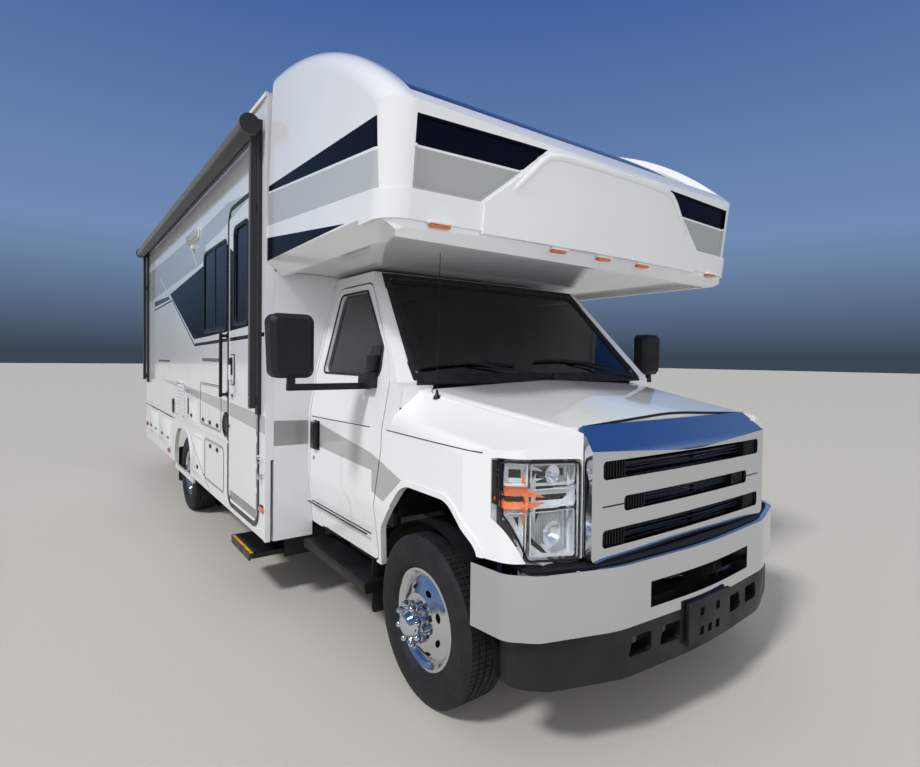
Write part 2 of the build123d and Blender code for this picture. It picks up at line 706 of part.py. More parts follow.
valance_scale = 0.94
valance_bottom_z = 309.0
valance_end = -480.0
intake_z = (385.0, 462.0)
plate_half = 163.0
plate_low_z = 345.0
plate_high_z = 525.0
plate_thick = 14.0
with BuildPart() as front_valance:
    add(bumper_ring(valance_scale, 0.0, valance_bottom_z, bumper_bottom_z - seat_gap))
    # the ends stop short of the steered tyres
    add(block((-cab_half, cab_half), (valance_end, 0.0), (0.0, 700.0)), mode=Mode.SUBTRACT)
    for low, high in ((190.0, 320.0), (370.0, 500.0)):
        for side, name in sides:
            add(front_prism(
                ((side * low, intake_z[0]), (side * high, intake_z[0]), (side * (high - 20.0), intake_z[1]),
                 (side * low, intake_z[1])), -front_overhang - 20.0, -560.0, 12.0), mode=Mode.SUBTRACT)
    # blank plate bracket with its fixing slots
    plate_back = -front_overhang + plate_thick
    add(block((-plate_half, plate_half), (-front_overhang, plate_back), (plate_low_z, plate_high_z)))
    add(block((-plate_half + 30.0, plate_half - 30.0), (plate_back - 1.0, -700.0),
              (plate_low_z + 10.0, bumper_bottom_z - seat_gap)))
    for x, z in ((-62.0, 470.0), (62.0, 470.0), (-62.0, 388.0), (0.0, 388.0), (62.0, 388.0)):
        add(front_prism(((x - 16.0, z - 18.0), (x + 16.0, z - 18.0), (x + 16.0, z + 18.0),
                         (x - 16.0, z + 18.0)),
                        -front_overhang - 5.0, plate_back - 2.0), mode=Mode.SUBTRACT)
front_valance.part.label = "front_valance"
export_step(front_valance.part, "parts/front_valance.step")

# Cabin frame: pillars, header and rear hoop around the doors and the windshield
windshield_outline = (
    # x, height, corner radius
    (cab_half - 149.0, belt_z + 20.0, 50.0), (cab_half - 255.0, cab_top_z - 30.0, 70.0),
)
with BuildPart() as cab_frame:
    add(cabin_form(0.0))
    add(cabin_form(frame_thick), mode=Mode.SUBTRACT)
    # no floor and no rear panel: the cabin is open to the box body
    add(block((-cab_half + 70.0, cab_half - 70.0), (windshield_foot - 80.0, cab_back + 10.0),
              (400.0, cab_floor_z)),
        mode=Mode.SUBTRACT)
    add(front_prism(mirrored(cabin_half_section), cab_back - 100.0, cab_back + 10.0, grow=-frame_thick),
        mode=Mode.SUBTRACT)
    add(front_prism(mirrored(windshield_outline), windshield_foot - 100.0, windshield_head + 30.0),
        mode=Mode.SUBTRACT)
    for side, name in sides:
        add(side_prism(cab_door_outline, *sorted((side * 700.0, side * 1100.0)), grow=door_gap),
            mode=Mode.SUBTRACT)
    add(block((-1100.0, 1100.0), (fender_rear, cab_back - 200.0), (400.0, cab_bottom_z + 14.0)),
        mode=Mode.SUBTRACT)
    # the fender strips stand in front of the doors
    add(block((-1100.0, 1100.0), (windshield_foot - 80.0, fender_rear + 0.5), (400.0, belt_z + 0.5)),
        mode=Mode.SUBTRACT)
cab_frame.part.label = "cab_frame"
export_step(cab_frame.part, "parts/cab_frame.step")

# Cowl under the windshield, between the hood and the glass, with the firewall below it
firewall_station = 262.0
cowl_half = cab_half - 214.0
with BuildPart() as cowl:
    add(nose_shell)
    add(block((-cowl_half, cowl_half), (hood_rear + panel_gap, firewall_station), (1250.0, 1500.0)),
        mode=Mode.INTERSECT)
    with BuildSketch(Plane.XY.offset(belt_z - 200.0)):
        add(bowed_front(cab_half, windshield_foot - 3.0, windshield_bow))
    extrude(amount=400.0, mode=Mode.SUBTRACT)
    add(block((-cowl_half + 20.0, cowl_half - 20.0), (hood_rear + 20.0, firewall_station + 4.0),
              (1320.0, 1365.0)))
    add(block((-cab_half + 80.0, cab_half - 80.0), (firewall_station, firewall_station + 38.0),
              (760.0, 1385.0)))
    add(block((-engine_half - 5.0, engine_half + 5.0), (firewall_station - 60.0, firewall_station + 50.0),
              (700.0, 1125.0)),
        mode=Mode.SUBTRACT)

# Windshield pane in the frame's opening
glass_inset = 12.0
with BuildPart() as windshield:
    add(cabin_form(glass_inset))
    add(cabin_form(glass_inset + glass_thick), mode=Mode.SUBTRACT)
    add(front_prism(mirrored(windshield_outline), windshield_foot - 100.0, windshield_head + 20.0,
                    grow=-seat_gap),
        mode=Mode.INTERSECT)
windshield.part.label = "windshield"
export_step(windshield.part, "parts/windshield.step")

# Cab doors with their panes, handles and mirrors
door_inner_step = 28.0
door_flange = 98.0
door_flange_stations = (380.0, 1300.0)
door_flange_heights = (500.0, 600.0)
handle_stations = (1136.0, 1196.0)
handle_heights = (985.0, 1143.0)
mirror_x = 1395.0
mirror_half_width = 108.0
mirror_centre_z = 1590.0
mirror_half_height = 152.0
mirror_depth = 96.0
mirror_station = 478.0
mirror_arm_half = 16.0
mirror_foot_stations = (432.0, 560.0)
outer_skin = cabin_form(0.0) - cabin_form(door_skin)
inner_frame = cabin_form(door_skin) - cabin_form(door_thick)
for side, name in sides:
    reach = sorted((side * 700.0, side * 1100.0))
    door_panel = inner_frame & side_prism(cab_door_outline, *reach, grow=-door_inner_step)
    with BuildPart() as cab_door:
        add(outer_skin)
        add(side_prism(cab_door_outline, *reach), mode=Mode.INTERSECT)
        add(door_panel)
        # the frame ends in a narrow flange along the bottom
        add(block((side * 600.0, side * (cab_half - door_flange)), door_flange_stations,
                  door_flange_heights), mode=Mode.SUBTRACT)
        add(side_prism(cab_window_outline, *reach), mode=Mode.SUBTRACT)
        # upright pull handle in a shallow cup
        add(block((side * (cab_half - 14.0), side * (cab_half + 30.0)), (1112.0, 1214.0), (974.0, 1154.0)),
            mode=Mode.SUBTRACT)
        add(block((side * (cab_half - 40.0), side * (cab_half + 26.0)), handle_stations, handle_heights,
                  12.0))
    cab_door.part.label = f"cab_door_{name}"
    export_step(cab_door.part, f"parts/cab_door_{name}.step")

    with BuildPart() as door_glass:
        add(cabin_form(glass_inset + 4.0))
        add(cabin_form(glass_inset + 4.0 + glass_thick), mode=Mode.SUBTRACT)
        add(side_prism(cab_window_outline, *reach, grow=-seat_gap), mode=Mode.INTERSECT)
    door_glass.part.label = f"cab_door_glass_{name}"
    export_step(door_glass.part, f"parts/cab_door_glass_{name}.step")

    head_low = mirror_centre_z - mirror_half_height
    head_outline = (
        (side * (mirror_x - mirror_half_width), head_low), (side * (mirror_x + mirror_half_width - 14.0),
                                                            head_low),
        (side * (mirror_x + mirror_half_width), head_low + 2 * mirror_half_height),
        (side * (mirror_x - mirror_half_width), head_low + 2 * mirror_half_height),
    )
    with BuildPart() as mirror:
        add(front_prism(head_outline, mirror_station, mirror_station + mirror_depth, 42.0))
        chamfer(mirror.faces().sort_by(Axis.Y)[0].edges(), length=24.0)
        # the pane is set back in the head's rear face
        add(front_prism(head_outline, mirror_station + mirror_depth - 7.0,
                        mirror_station + mirror_depth + 5.0, 42.0,
                        grow=-9.0), mode=Mode.SUBTRACT)
        add(block((side * (mirror_x - 20.0), side * (mirror_x + 16.0)),
                  (mirror_station + 22.0, mirror_station + 58.0),
                  (head_low - 40.0, head_low + 10.0), 8.0))
        add(block((side * (cab_half - 28.0), side * (mirror_x + 16.0)),
                  (mirror_station + 24.0, mirror_station + 56.0),
                  (head_low - 44.0 - mirror_arm_half, head_low - 44.0 + mirror_arm_half)))
        foot = side_prism(
            ((mirror_foot_stations[0], belt_z - 35.0), (mirror_foot_stations[1], belt_z - 35.0),
             (mirror_foot_stations[1], belt_z + 20.0), (mirror_foot_stations[0] + 20.0, belt_z + 50.0)),
            *sorted((side * (cab_half - 60.0), side * (cab_half + 16.0))), 10.0)
        add(foot - cabin_form(-0.5))
    mirror.part.label = f"mirror_{name}"
    export_step(mirror.part, f"parts/mirror_{name}.step")

# Cab floor with the engine cover, and what stands on it
floor_half = cab_half - 85.0
toe_station = 440.0
cover_top_z = engine_top_z + 40.0
with BuildPart() as cab_floor:
    add(block((-floor_half, floor_half), (toe_station, box_front), (cab_floor_z, cab_floor_z + 35.0)))
    add(block((-floor_half, floor_half), (toe_station - 40.0, toe_station), (cab_floor_z, 1000.0)))
    add(block((-engine_half - 20.0, engine_half + 20.0), (firewall_station + 38.5, 760.0),
              (cab_floor_z + 30.0, cover_top_z), 30.0))
    add(block((-engine_half - 2.0, engine_half + 2.0), (firewall_station - 60.0, 740.0),
              (600.0, cover_top_z - 20.0)),
        mode=Mode.SUBTRACT)
    # the firewall and the cowl are fixed to the floor
    add(cowl.part)
cab_floor.part.label = "cab_floor"
export_step(cab_floor.part, "parts/cab_floor.step")

seat_x = 590.0
seat_half = 245.0
seat_floor_z = cab_floor_z + 35.0
wheel_tilt = 35.0
wheel_centre = Vector(seat_x - 40.0, station(690.0), 1300.0)
wheel_normal = Vector(0.0, sin(radians(wheel_tilt)), cos(radians(wheel_tilt)))
column_length = 130.0
rim_radius = 190.0
rim_tube = 15.0
hub_radius = 62.0
column_radius = 25.0
column_gap = 6.0
dash_front = firewall_station + 38.5
with BuildPart() as dashboard:
    add(side_prism(
        ((dash_front, 1130.0, 0.0), (dash_front, 1375.0, 0.0), (400.0, 1392.0, 60.0), (556.0, 1372.0, 40.0),
         (604.0, 1290.0, 40.0), (560.0, 1130.0, 0.0)), -cab_half + 150.0, cab_half - 150.0,
    ))
    # instrument hood on the driver's side
    add(side_prism(((390.0, 1370.0), (396.0, 1412.0), (500.0, 1416.0), (506.0, 1370.0)), 380.0, 740.0, 10.0))
    # hole round the steering column
    with BuildSketch(Plane(origin=wheel_centre, x_dir=(1, 0, 0), z_dir=wheel_normal)):
        Circle(column_radius + column_gap)
    extrude(amount=-column_length - 2 * column_gap, mode=Mode.SUBTRACT)
dashboard.part.label = "dashboard"
export_step(dashboard.part, "parts/dashboard.step")

with BuildPart() as cab_seats:
    for side, name in sides:
        seat_range = (side * (seat_x - seat_half), side * (seat_x + seat_half))
        add(block((side * (seat_x - 190.0), side * (seat_x + 190.0)), (830.0, 1220.0),
                  (seat_floor_z, 950.0)))
        add(side_prism(((770.0, 945.0, 30.0), (770.0, 1080.0, 60.0), (1180.0, 1060.0, 20.0),
                        (1230.0, 945.0, 30.0)),
                       *sorted(seat_range)))
        add(side_prism(((1110.0, 1040.0, 20.0), (1215.0, 1010.0, 30.0), (1312.0, 1560.0, 38.0),
                        (1225.0, 1580.0, 38.0)),
                       *sorted(seat_range)))
        add(side_prism(((1222.0, 1590.0, 30.0), (1300.0, 1590.0, 30.0), (1318.0, 1750.0, 40.0),
                        (1235.0, 1750.0, 40.0)),
                       *sorted((side * (seat_x - 130.0), side * (seat_x + 130.0)))))
        add(block((side * (seat_x - 40.0), side * (seat_x + 40.0)), (1255.0, 1275.0), (1540.0, 1600.0)))
cab_seats.part.label = "cab_seats"
export_step(cab_seats.part, "parts/cab_seats.step")

with BuildPart() as steering_wheel:
    with BuildSketch(Plane(origin=wheel_centre, x_dir=(1, 0, 0),
                           z_dir=(0, -wheel_normal.Z, wheel_normal.Y))):
        with Locations((rim_radius, rim_tube)):
            Circle(rim_tube)
    revolve(axis=Axis(wheel_centre, wheel_normal))
    spokes = Plane(origin=wheel_centre + wheel_normal * 4.0, x_dir=(1, 0, 0), z_dir=wheel_normal)
    with BuildSketch(spokes):
        Rectangle(2 * rim_radius, 46.0)
        with Locations((0.0, -rim_radius / 2)):
            Rectangle(52.0, rim_radius)
        Circle(hub_radius)
    extrude(amount=18.0)
    with BuildSketch(spokes):
        Circle(column_radius)
    extrude(amount=-column_length)
steering_wheel.part.label = "steering_wheel"
export_step(steering_wheel.part, "parts/steering_wheel.step")

board_top_z = 400.0
board_hangers = (600.0, 1150.0)
with BuildPart() as running_boards:
    for side, name in sides:
        add(front_prism(
            on_side(side, ((850.0, board_top_z - 60.0, 0.0), (cab_half + 22.0, board_top_z - 60.0, 15.0),
                           (cab_half + 34.0, board_top_z, 12.0), (850.0, board_top_z, 0.0))),
            toe_station, box_front - 10.0))
        for s in board_hangers:
            add(block((side * (rail_half + 0.5), side * 900.0), (s - 25.0, s + 25.0),
                      (board_top_z - 40.0, board_top_z - 5.0)))
            add(block((side * (rail_half + 0.5), side * (rail_half + 30.0)), (s - 25.0, s + 25.0),
                      (board_top_z - 40.0, rail_bottom_z + 80.0)))
running_boards.part.label = "running_boards"
export_step(running_boards.part, "parts/running_boards.step")

# Box body: floor, walls, roof and front wall
door_front = box_front + 182.0
door_rear = door_front + 702.0
door_bottom_z = 490.0
door_top_z = 2576.0
door_corner = 90.0
step_well_depth = 430.0
tread_depth = 220.0
tread_z = 720.0
with BuildPart() as house_floor:
    add(block((-inner_half, inner_half), (box_front + wall_thick, box_rear - wall_thick),
              (floor_bottom_z, floor_top_z)))
    # the stair well inside the entry door
    well = (-inner_half, -inner_half + step_well_depth)
    add(block((well[0] - 1.0, well[1]), (door_front, door_rear), (floor_bottom_z - 5.0, floor_top_z + 5.0)),
        mode=Mode.SUBTRACT)
    add(block((well[0], well[1] + 20.0), (door_front - 20.0, door_rear + 20.0),
              (door_bottom_z - 25.0, floor_bottom_z)))
    add(block((well[0] - 1.0, well[1]), (door_front, door_rear), (door_bottom_z, floor_top_z)),
        mode=Mode.SUBTRACT)
    add(block((well[0] + tread_depth, well[1] + 5.0), (door_front - 5.0, door_rear + 5.0),
              (door_bottom_z - 5.0, tread_z)))
house_floor.part.label = "house_floor"
export_step(house_floor.part, "parts/house_floor.step")

arch_half = 420.0
arch_top_z = 808.0
arch_round = 300.0
arch_trim = 42.0
arch_trim_proud = 9.0
corner_trim = 34.0
corner_proud = 5.0
hatch_corner = 26.0
window_corner = 60.0
storage_hatch = ((2432.0, 952.0), (3204.0, 952.0), (3204.0, 1306.0), (2432.0, 1306.0))
skirt_hatch = ((2345.0, 500.0), (3020.0, 500.0), (3020.0, 846.0), (2345.0, 846.0))
entry_outline = (
    (door_front, door_bottom_z, 20.0), (door_rear, door_bottom_z, 20.0), (door_rear, door_top_z,
                                                                          door_corner),
    (door_front, door_top_z, door_corner),
)
right_window = ((2272.0, 1742.0), (3050.0, 1742.0), (3050.0, 2404.0), (2272.0, 2404.0))
left_windows = (
    ((1750.0, 1600.0), (2750.0, 1600.0), (2750.0, 2250.0), (1750.0, 2250.0)),
    ((3500.0, 1700.0), (4200.0, 1700.0), (4200.0, 2250.0), (3500.0, 2250.0)),
    ((5300.0, 1650.0), (6100.0, 1650.0), (6100.0, 2250.0), (5300.0, 2250.0)),
)
arch_outline = (
    (wheelbase - arch_half, skirt_bottom_z - 20.0, 0.0), (wheelbase - arch_half, arch_top_z, arch_round),
    (wheelbase + arch_half, arch_top_z, arch_round), (wheelbase + arch_half, skirt_bottom_z - 20.0, 0.0),
)
skirt_top_z = rail_z - rail_height / 2
for side, name in sides:
    through = sorted((side * (body_half - 300.0), side * (body_half + 60.0)))
    with BuildPart() as house_wall:
        add(block((side * inner_half, side * body_half), (box_front, box_rear), (rail_z, roof_edge_z)))
        add(block((side * (body_half - skirt_thick), side * (body_half + rail_proud)), (box_front, box_rear),
                  (skirt_top_z, rail_z + rail_height / 2)))
        # moulded trim along the upright corners
        for low, high in ((box_front, box_front + corner_trim), (box_rear - corner_trim, box_rear)):
            add(block((side * (body_half - 5.0), side * (body_half + corner_proud)), (low, high),
                      (skirt_top_z, roof_edge_z)))
        add(side_prism(storage_hatch, *through, hatch_corner, panel_gap), mode=Mode.SUBTRACT)
        if side < 0:
            add(side_prism(entry_outline, *through, grow=door_gap), mode=Mode.SUBTRACT)
            add(side_prism(right_window, *through, window_corner), mode=Mode.SUBTRACT)
        else:
            for window in left_windows:
                add(side_prism(window, *through, window_corner), mode=Mode.SUBTRACT)
    house_wall.part.label = f"house_wall_{name}"
    export_step(house_wall.part, f"parts/house_wall_{name}.step")

# Skirts below the walls, with the moulded trim round the wheel arches
with BuildPart() as side_skirts:
    for side, name in sides:
        through = sorted((side * (body_half - 300.0), side * (body_half + 60.0)))
        add(block((side * (body_half - skirt_thick), side * body_half), (box_front, box_rear),
                  (skirt_bottom_z, skirt_top_z)))
        add(side_prism(arch_outline, *sorted((side * (body_half - skirt_thick),
                                              side * (body_half + arch_trim_proud))),
                       grow=arch_trim))
        for low, high in ((box_front, box_front + corner_trim), (box_rear - corner_trim, box_rear)):
            add(block((side * (body_half - 5.0), side * (body_half + corner_proud)), (low, high),
                      (skirt_bottom_z, skirt_top_z)))
        add(block((side * (body_half - 5.0), side * (body_half + 60.0)),
                  (wheelbase - 900.0, wheelbase + 900.0),
                  (200.0, skirt_bottom_z)), mode=Mode.SUBTRACT)
        add(side_prism(arch_outline, *through), mode=Mode.SUBTRACT)
        if side < 0:
            add(side_prism(entry_outline, *through, grow=door_gap), mode=Mode.SUBTRACT)
            add(side_prism(skirt_hatch, *through, hatch_corner, panel_gap), mode=Mode.SUBTRACT)
side_skirts.part.label = "side_skirts"
export_step(side_skirts.part, "parts/side_skirts.step")

bumper_low_z = 480.0
with BuildPart() as rear_wall:
    add(block((-inner_half + 0.5, inner_half - 0.5), (box_rear - wall_thick, box_rear),
              (bumper_low_z + 130.0, roof_edge_z)))
rear_wall.part.label = "rear_wall"
export_step(rear_wall.part, "parts/rear_wall.step")

with BuildPart() as front_wall:
    add(block((-inner_half + 0.5, inner_half - 0.5), (box_front, box_front + wall_thick),
              (skirt_bottom_z, cab_top_z + 20.0)))
    add(front_prism(mirrored(cabin_half_section), box_front - 10.0, box_front + wall_thick + 10.0,
                    grow=seat_gap),
        mode=Mode.SUBTRACT)
    add(block((-cab_half + 30.0, cab_half - 30.0), (box_front - 10.0, box_front + wall_thick + 10.0),
              (400.0, cab_bottom_z + 5.0)), mode=Mode.SUBTRACT)
front_wall.part.label = "front_wall"
export_step(front_wall.part, "parts/front_wall.step")

roof_side_rise = 50.0
roof_side_width = 60.0
gutter_drop = 26.0
gutter_proud = 14.0
with BuildPart() as roof:
    add(front_prism(
        [(-body_half, roof_edge_z), (body_half, roof_edge_z), (body_half, roof_edge_z + 12.0, 12.0),
         (body_half - roof_side_width, roof_edge_z + roof_side_rise, 60.0),
         (0.0, roof_edge_z + roof_crown, 9000.0), (-body_half + roof_side_width,
                                                   roof_edge_z + roof_side_rise, 60.0),
         (-body_half, roof_edge_z + 12.0, 12.0)],
        box_front, box_rear,
    ))
    for side, name in sides:
        add(block((side * (body_half - 4.0), side * (body_half + gutter_proud)), (box_front, box_rear),
                  (roof_edge_z + 1.0, roof_edge_z + gutter_drop)))
roof.part.label = "roof"
export_step(roof.part, "parts/roof.step")

# Sleeping cap over the cab: a shell open towards the box, its crown an arc between two side horns
cap_thick = 40.0
cap_bottom_z = cab_top_z + 22.0
crown_radius = 2310.0
crown_centre = (box_front + 100.0, 900.0)
crown_round = 95.0
trough_depth = 38.0
trough_half = body_half - 122.0
trough_front = -150.0
trough_rear = 930.0
cap_corner = 125.0
face_z = 2345.0
face_front = -250.0
face_bow = 66.0
face_lean = -0.12
ridge_z = cap_bottom_z - 27.0
ridge_station = -105.0
ridge_width = 45.0
lip_bottom_z = 2078.0
lip_top_z = 2206.0
lip_proud = 14.0
side_edge_z = 2114.0
bevel_width = 84.0
plate_proud = 24.0
panel_depth = 12.0
nose_plate_outline = ((812.0, lip_bottom_z, 0.0), (812.0, lip_top_z, 0.0), (440.0, 2500.0, 50.0))
face_panel_outline = ((826.0, 2222.0, 10.0), (1140.0, 2222.0, 14.0), (1140.0, 2490.0, 14.0),
                      (478.0, 2490.0, 10.0))
cap_plan = (
    # x, station, corner radius
    (body_half, box_front, 0.0), (body_half, face_front + face_bow, cap_corner), (0.0, face_front, 15000.0),
)
cap_half_section = (
    # half width, height
    (body_half - bevel_width, ridge_z), (body_half, side_edge_z), (body_half, 3400.0),
)


def crown_point(at_station, depth):
    """Point on the crown's arc, or on an arc that lies deeper."""
    back = crown_centre[0] - at_station
    return station(at_station), crown_centre[1] + ((crown_radius - depth) ** 2 - back ** 2) ** 0.5


def crown_slice(front_end, rear_end, low_depth, high_depth):
    """Side view sketch of the layer between two depths under the crown's arc."""
    with BuildSketch() as layer:
        with BuildLine():
            middle = (front_end + rear_end) / 2
            ThreePointArc(*[crown_point(s, low_depth) for s in (front_end, middle, rear_end)])
            ThreePointArc(*[crown_point(s, high_depth) for s in (front_end, middle, rear_end)])
            Line(crown_point(front_end, low_depth), crown_point(front_end, high_depth))
            Line(crown_point(rear_end, low_depth), crown_point(rear_end, high_depth))
        make_face()
    return layer.sketch


def cap_side(inset):
    """Side view sketch of the cap under its crown."""
    foremost = face_front - 80.0
    with BuildSketch() as outline:
        with BuildLine():
            ThreePointArc(*[crown_point(s, 0.0) for s in (box_front, 500.0, foremost)])
            Polyline(
                crown_point(foremost, 0.0), (station(foremost), lip_bottom_z + 60.0),
                (station(-185.0), lip_bottom_z),
                (station(ridge_station), ridge_z), (station(box_front), ridge_z),
                crown_point(box_front, 0.0),
            )
        make_face()
        if inset:
            offset(amount=-inset, kind=Kind.INTERSECTION)
    return outline.sketch


def cap_face(outset, inset):
    """Upright form of the cap: flat sides and a bowed front that leans forward as it rises."""
    reach = 1000.0
    plan = [(x, s - outset if s < 0 else s, r) for x, s, r in cap_plan]
    with BuildPart() as upright:
        with BuildSketch(Plane.XY.offset(face_z)):
            with BuildLine():
                rounded([(x, station(s), r) for x, s, r in mirrored(plan)], 0.0)
            make_face()
            if inset:
                offset(amount=-inset, kind=Kind.INTERSECTION)
        extrude(amount=reach, dir=Vector(0, face_lean, 1), both=True)
    return upright.part


def cap_form(inset):
    """Outer form of the cap, or the same form with its front, sides and top moved inwards."""
    with BuildPart() as cap:
        with BuildSketch(Plane.YZ.offset(-body_half)):
            add(cap_side(inset))
        extrude(amount=2 * body_half)
        if not inset:
            arcs = cap.edges().filter_by(GeomType.CIRCLE)
            crown_edges = [e for e in arcs if abs(e.radius - crown_radius) < 1.0]
            fillet(crown_edges, radius=crown_round)
        add(cap_face(0.0, inset), mode=Mode.INTERSECT)
        add(front_prism(mirrored(cap_half_section), -600.0, box_front, grow=-inset), mode=Mode.INTERSECT)
    return cap.part


cap_window_outline = (
    # x, station, corner radius
    (trough_half - 60.0, trough_rear - 45.0, 90.0), (trough_half - 52.0, trough_front + 26.0, 150.0),
)
pane_thick = 10.0
with BuildPart() as trough:
    with BuildSketch(Plane.YZ.offset(-trough_half)):
        add(crown_slice(trough_front, trough_rear, trough_depth, -120.0))
    extrude(amount=2 * trough_half)
    floor_edges = [
        e for e in trough.edges().filter_by(GeomType.CIRCLE)
        if abs(e.radius - crown_radius + trough_depth) < 1.0
    ]
    chamfer(floor_edges, length=trough_depth - 2.0)
cap_outer = cap_form(0.0)
with BuildPart() as front_cap:
    add(cap_outer)
    # lip along the foot of the face and the plate raised between the side panels
    add(cap_face(lip_proud, 0.0) & block((-body_half, body_half), (-500.0, 60.0),
                                         (lip_bottom_z + 14.0, lip_top_z)))
    add(cap_face(plate_proud, 0.0) & front_prism(mirrored(nose_plate_outline), -500.0, 0.0))
    add(cap_form(cap_thick), mode=Mode.SUBTRACT)
    for side, name in sides:
        recess = front_prism(on_side(side, face_panel_outline), -500.0, 0.0) - cap_face(-panel_depth, 0.0)
        add(recess, mode=Mode.SUBTRACT)
    add(trough.part, mode=Mode.SUBTRACT)
    # open to the box body behind, and to the cab below
    add(block((-inner_half, inner_half), (box_front - cap_thick - 10.0, box_front + 10.0),
              (cap_bottom_z + 40.0, 3060.0)),
        mode=Mode.SUBTRACT)
    add(block((-700.0, 700.0), (box_front - 400.0, box_front + 10.0), (2000.0, cap_bottom_z + 60.0)),
        mode=Mode.SUBTRACT)
    # the underside is raised behind its ridge
    add(block((-body_half + bevel_width + 30.0, body_half - bevel_width - 30.0),
              (ridge_station + ridge_width, box_front + 10.0),
              (ridge_z - 5.0, cap_bottom_z)), mode=Mode.SUBTRACT)
    add(plan_prism(mirrored(cap_window_outline), 2560.0, 3400.0), mode=Mode.SUBTRACT)
front_cap.part.label = "front_cap"
export_step(front_cap.part, "parts/front_cap.step")

with BuildPart() as cap_window:
    with BuildSketch(Plane.YZ.offset(-trough_half)):
        add(crown_slice(trough_front - 20.0, trough_rear + 20.0, trough_depth + pane_thick, trough_depth))
    extrude(amount=2 * trough_half)
    add(plan_prism(mirrored(cap_window_outline), 2560.0, 3400.0, grow=-seat_gap), mode=Mode.INTERSECT)
cap_window.part.label = "cap_window"
export_step(cap_window.part, "parts/cap_window.step")

# Panes of the box body, dark glass set flush in the walls
pane_inset = 4.0
pane_depth = 20.0
with BuildPart() as house_windows:
    for side, windows in ((-1, (right_window,)), (1, left_windows)):
        for window in windows:
            add(side_prism(window, *sorted((side * (body_half - pane_inset - pane_depth),
                                            side * (body_half - pane_inset))),
                           window_corner, -seat_gap))
house_windows.part.label = "house_windows"
export_step(house_windows.part, "parts/house_windows.step")

# Entry door with its tall pane and latch
entry_window = ((door_front + 227.0, 1766.0), (door_rear - 129.0, 1766.0), (door_rear - 129.0, 2441.0),
                (door_front + 227.0, 2441.0))
latch_stations = (door_rear - 143.0, door_rear - 43.0)
latch_heights = (1340.0, 1548.0)
with BuildPart() as entry_door:
    add(side_prism(entry_outline, -body_half, -body_half + wall_thick))
    add(side_prism(entry_window, -body_half - 10.0, -body_half + wall_thick + 10.0, window_corner),
        mode=Mode.SUBTRACT)
    add(side_prism(((latch_stations[0], latch_heights[0]), (latch_stations[1], latch_heights[0]),
                    (latch_stations[1], latch_heights[1]), (latch_stations[0], latch_heights[1])),
                   -body_half - 10.0, -body_half + 5.0, 24.0))
    add(block((-body_half - 30.0, -body_half - 5.0), (latch_stations[0] + 30.0, latch_stations[1] - 30.0),
              (latch_heights[0] + 34.0, latch_heights[1] - 70.0), 8.0))
entry_door.part.label = "entry_door"
export_step(entry_door.part, "parts/entry_door.step")
with BuildPart() as entry_door_glass:
    add(side_prism(entry_window, -body_half + 8.0, -body_half + 28.0, window_corner, -seat_gap))
entry_door_glass.part.label = "entry_door_glass"
export_step(entry_door_glass.part, "parts/entry_door_glass.step")

# Grab handle beside the door
handle_station = door_rear + 51.0
handle_out = 50.0
handle_radius = 12.0
handle_z = (1240.0, 1706.0)
with BuildPart() as grab_handle:
    bar_x = -body_half - handle_out
    add(rod((bar_x, handle_station, handle_z[0]), (bar_x, handle_station, handle_z[1]), handle_radius))
    for z in (handle_z[0] + 18.0, handle_z[1] - 18.0):
        add(rod((bar_x, handle_station, z), (-body_half, handle_station, z), handle_radius - 1.0))
        add(rod((-body_half - 8.0, handle_station, z), (-body_half, handle_station, z), 24.0))
grab_handle.part.label = "grab_handle"
export_step(grab_handle.part, "parts/grab_handle.step")

# Pull-out entry step, sliding between two channels under the floor
step_front = door_front + 10.0
step_rear = step_front + 481.0
step_z = 262.0
tread_thick = 30.0
slide_gap = 6.0
carrier_thick = 14.0
carrier_back = -820.0
carrier_front = -body_half + 170.0
step_out = -body_half - 40.0
with BuildPart() as step_carrier:
    for inner, outer, lip in (
        (step_front - slide_gap, step_front - slide_gap - carrier_thick, step_front + 20.0),
        (step_rear + slide_gap, step_rear + slide_gap + carrier_thick, step_rear - 20.0),
    ):
        add(block((carrier_front, carrier_back), (inner, outer), (step_z - 20.0, door_bottom_z - 25.0)))
        add(block((carrier_front, carrier_back), (lip, outer), (step_z - 20.0, step_z - slide_gap)))
    add(block((carrier_back - carrier_thick, carrier_back), (step_front - 20.0, step_rear + 20.0),
              (step_z - 20.0, door_bottom_z - 25.0)))
step_carrier.part.label = "step_carrier"
export_step(step_carrier.part, "parts/step_carrier.step")
with BuildPart() as entry_step:
    add(block((step_out, carrier_back - 2 * carrier_thick), (step_front, step_rear),
              (step_z, step_z + tread_thick)))
    fillet(entry_step.edges().filter_by(Axis.Z).sort_by(Axis.X)[:2], radius=24.0)
    # the front edge is turned down
    add(block((step_out, step_out + 12.0), (step_front + 24.0, step_rear - 24.0),
              (step_z - 16.0, step_z + 5.0)))
entry_step.part.label = "entry_step"
export_step(entry_step.part, "parts/entry_step.step")

# Storage hatches, hinged along their top edges
for hatch_name, outline, side, thick in (
    ("storage_hatch_right", storage_hatch, -1, wall_thick),
    ("storage_hatch_left", storage_hatch, 1, wall_thick),
    ("skirt_hatch_right", skirt_hatch, -1, skirt_thick),
):
    with BuildPart() as hatch:
        add(side_prism(outline, *sorted((side * (body_half - thick), side * body_half)), hatch_corner))
    hatch.part.label = hatch_name
    export_step(hatch.part, f"parts/{hatch_name}.step")

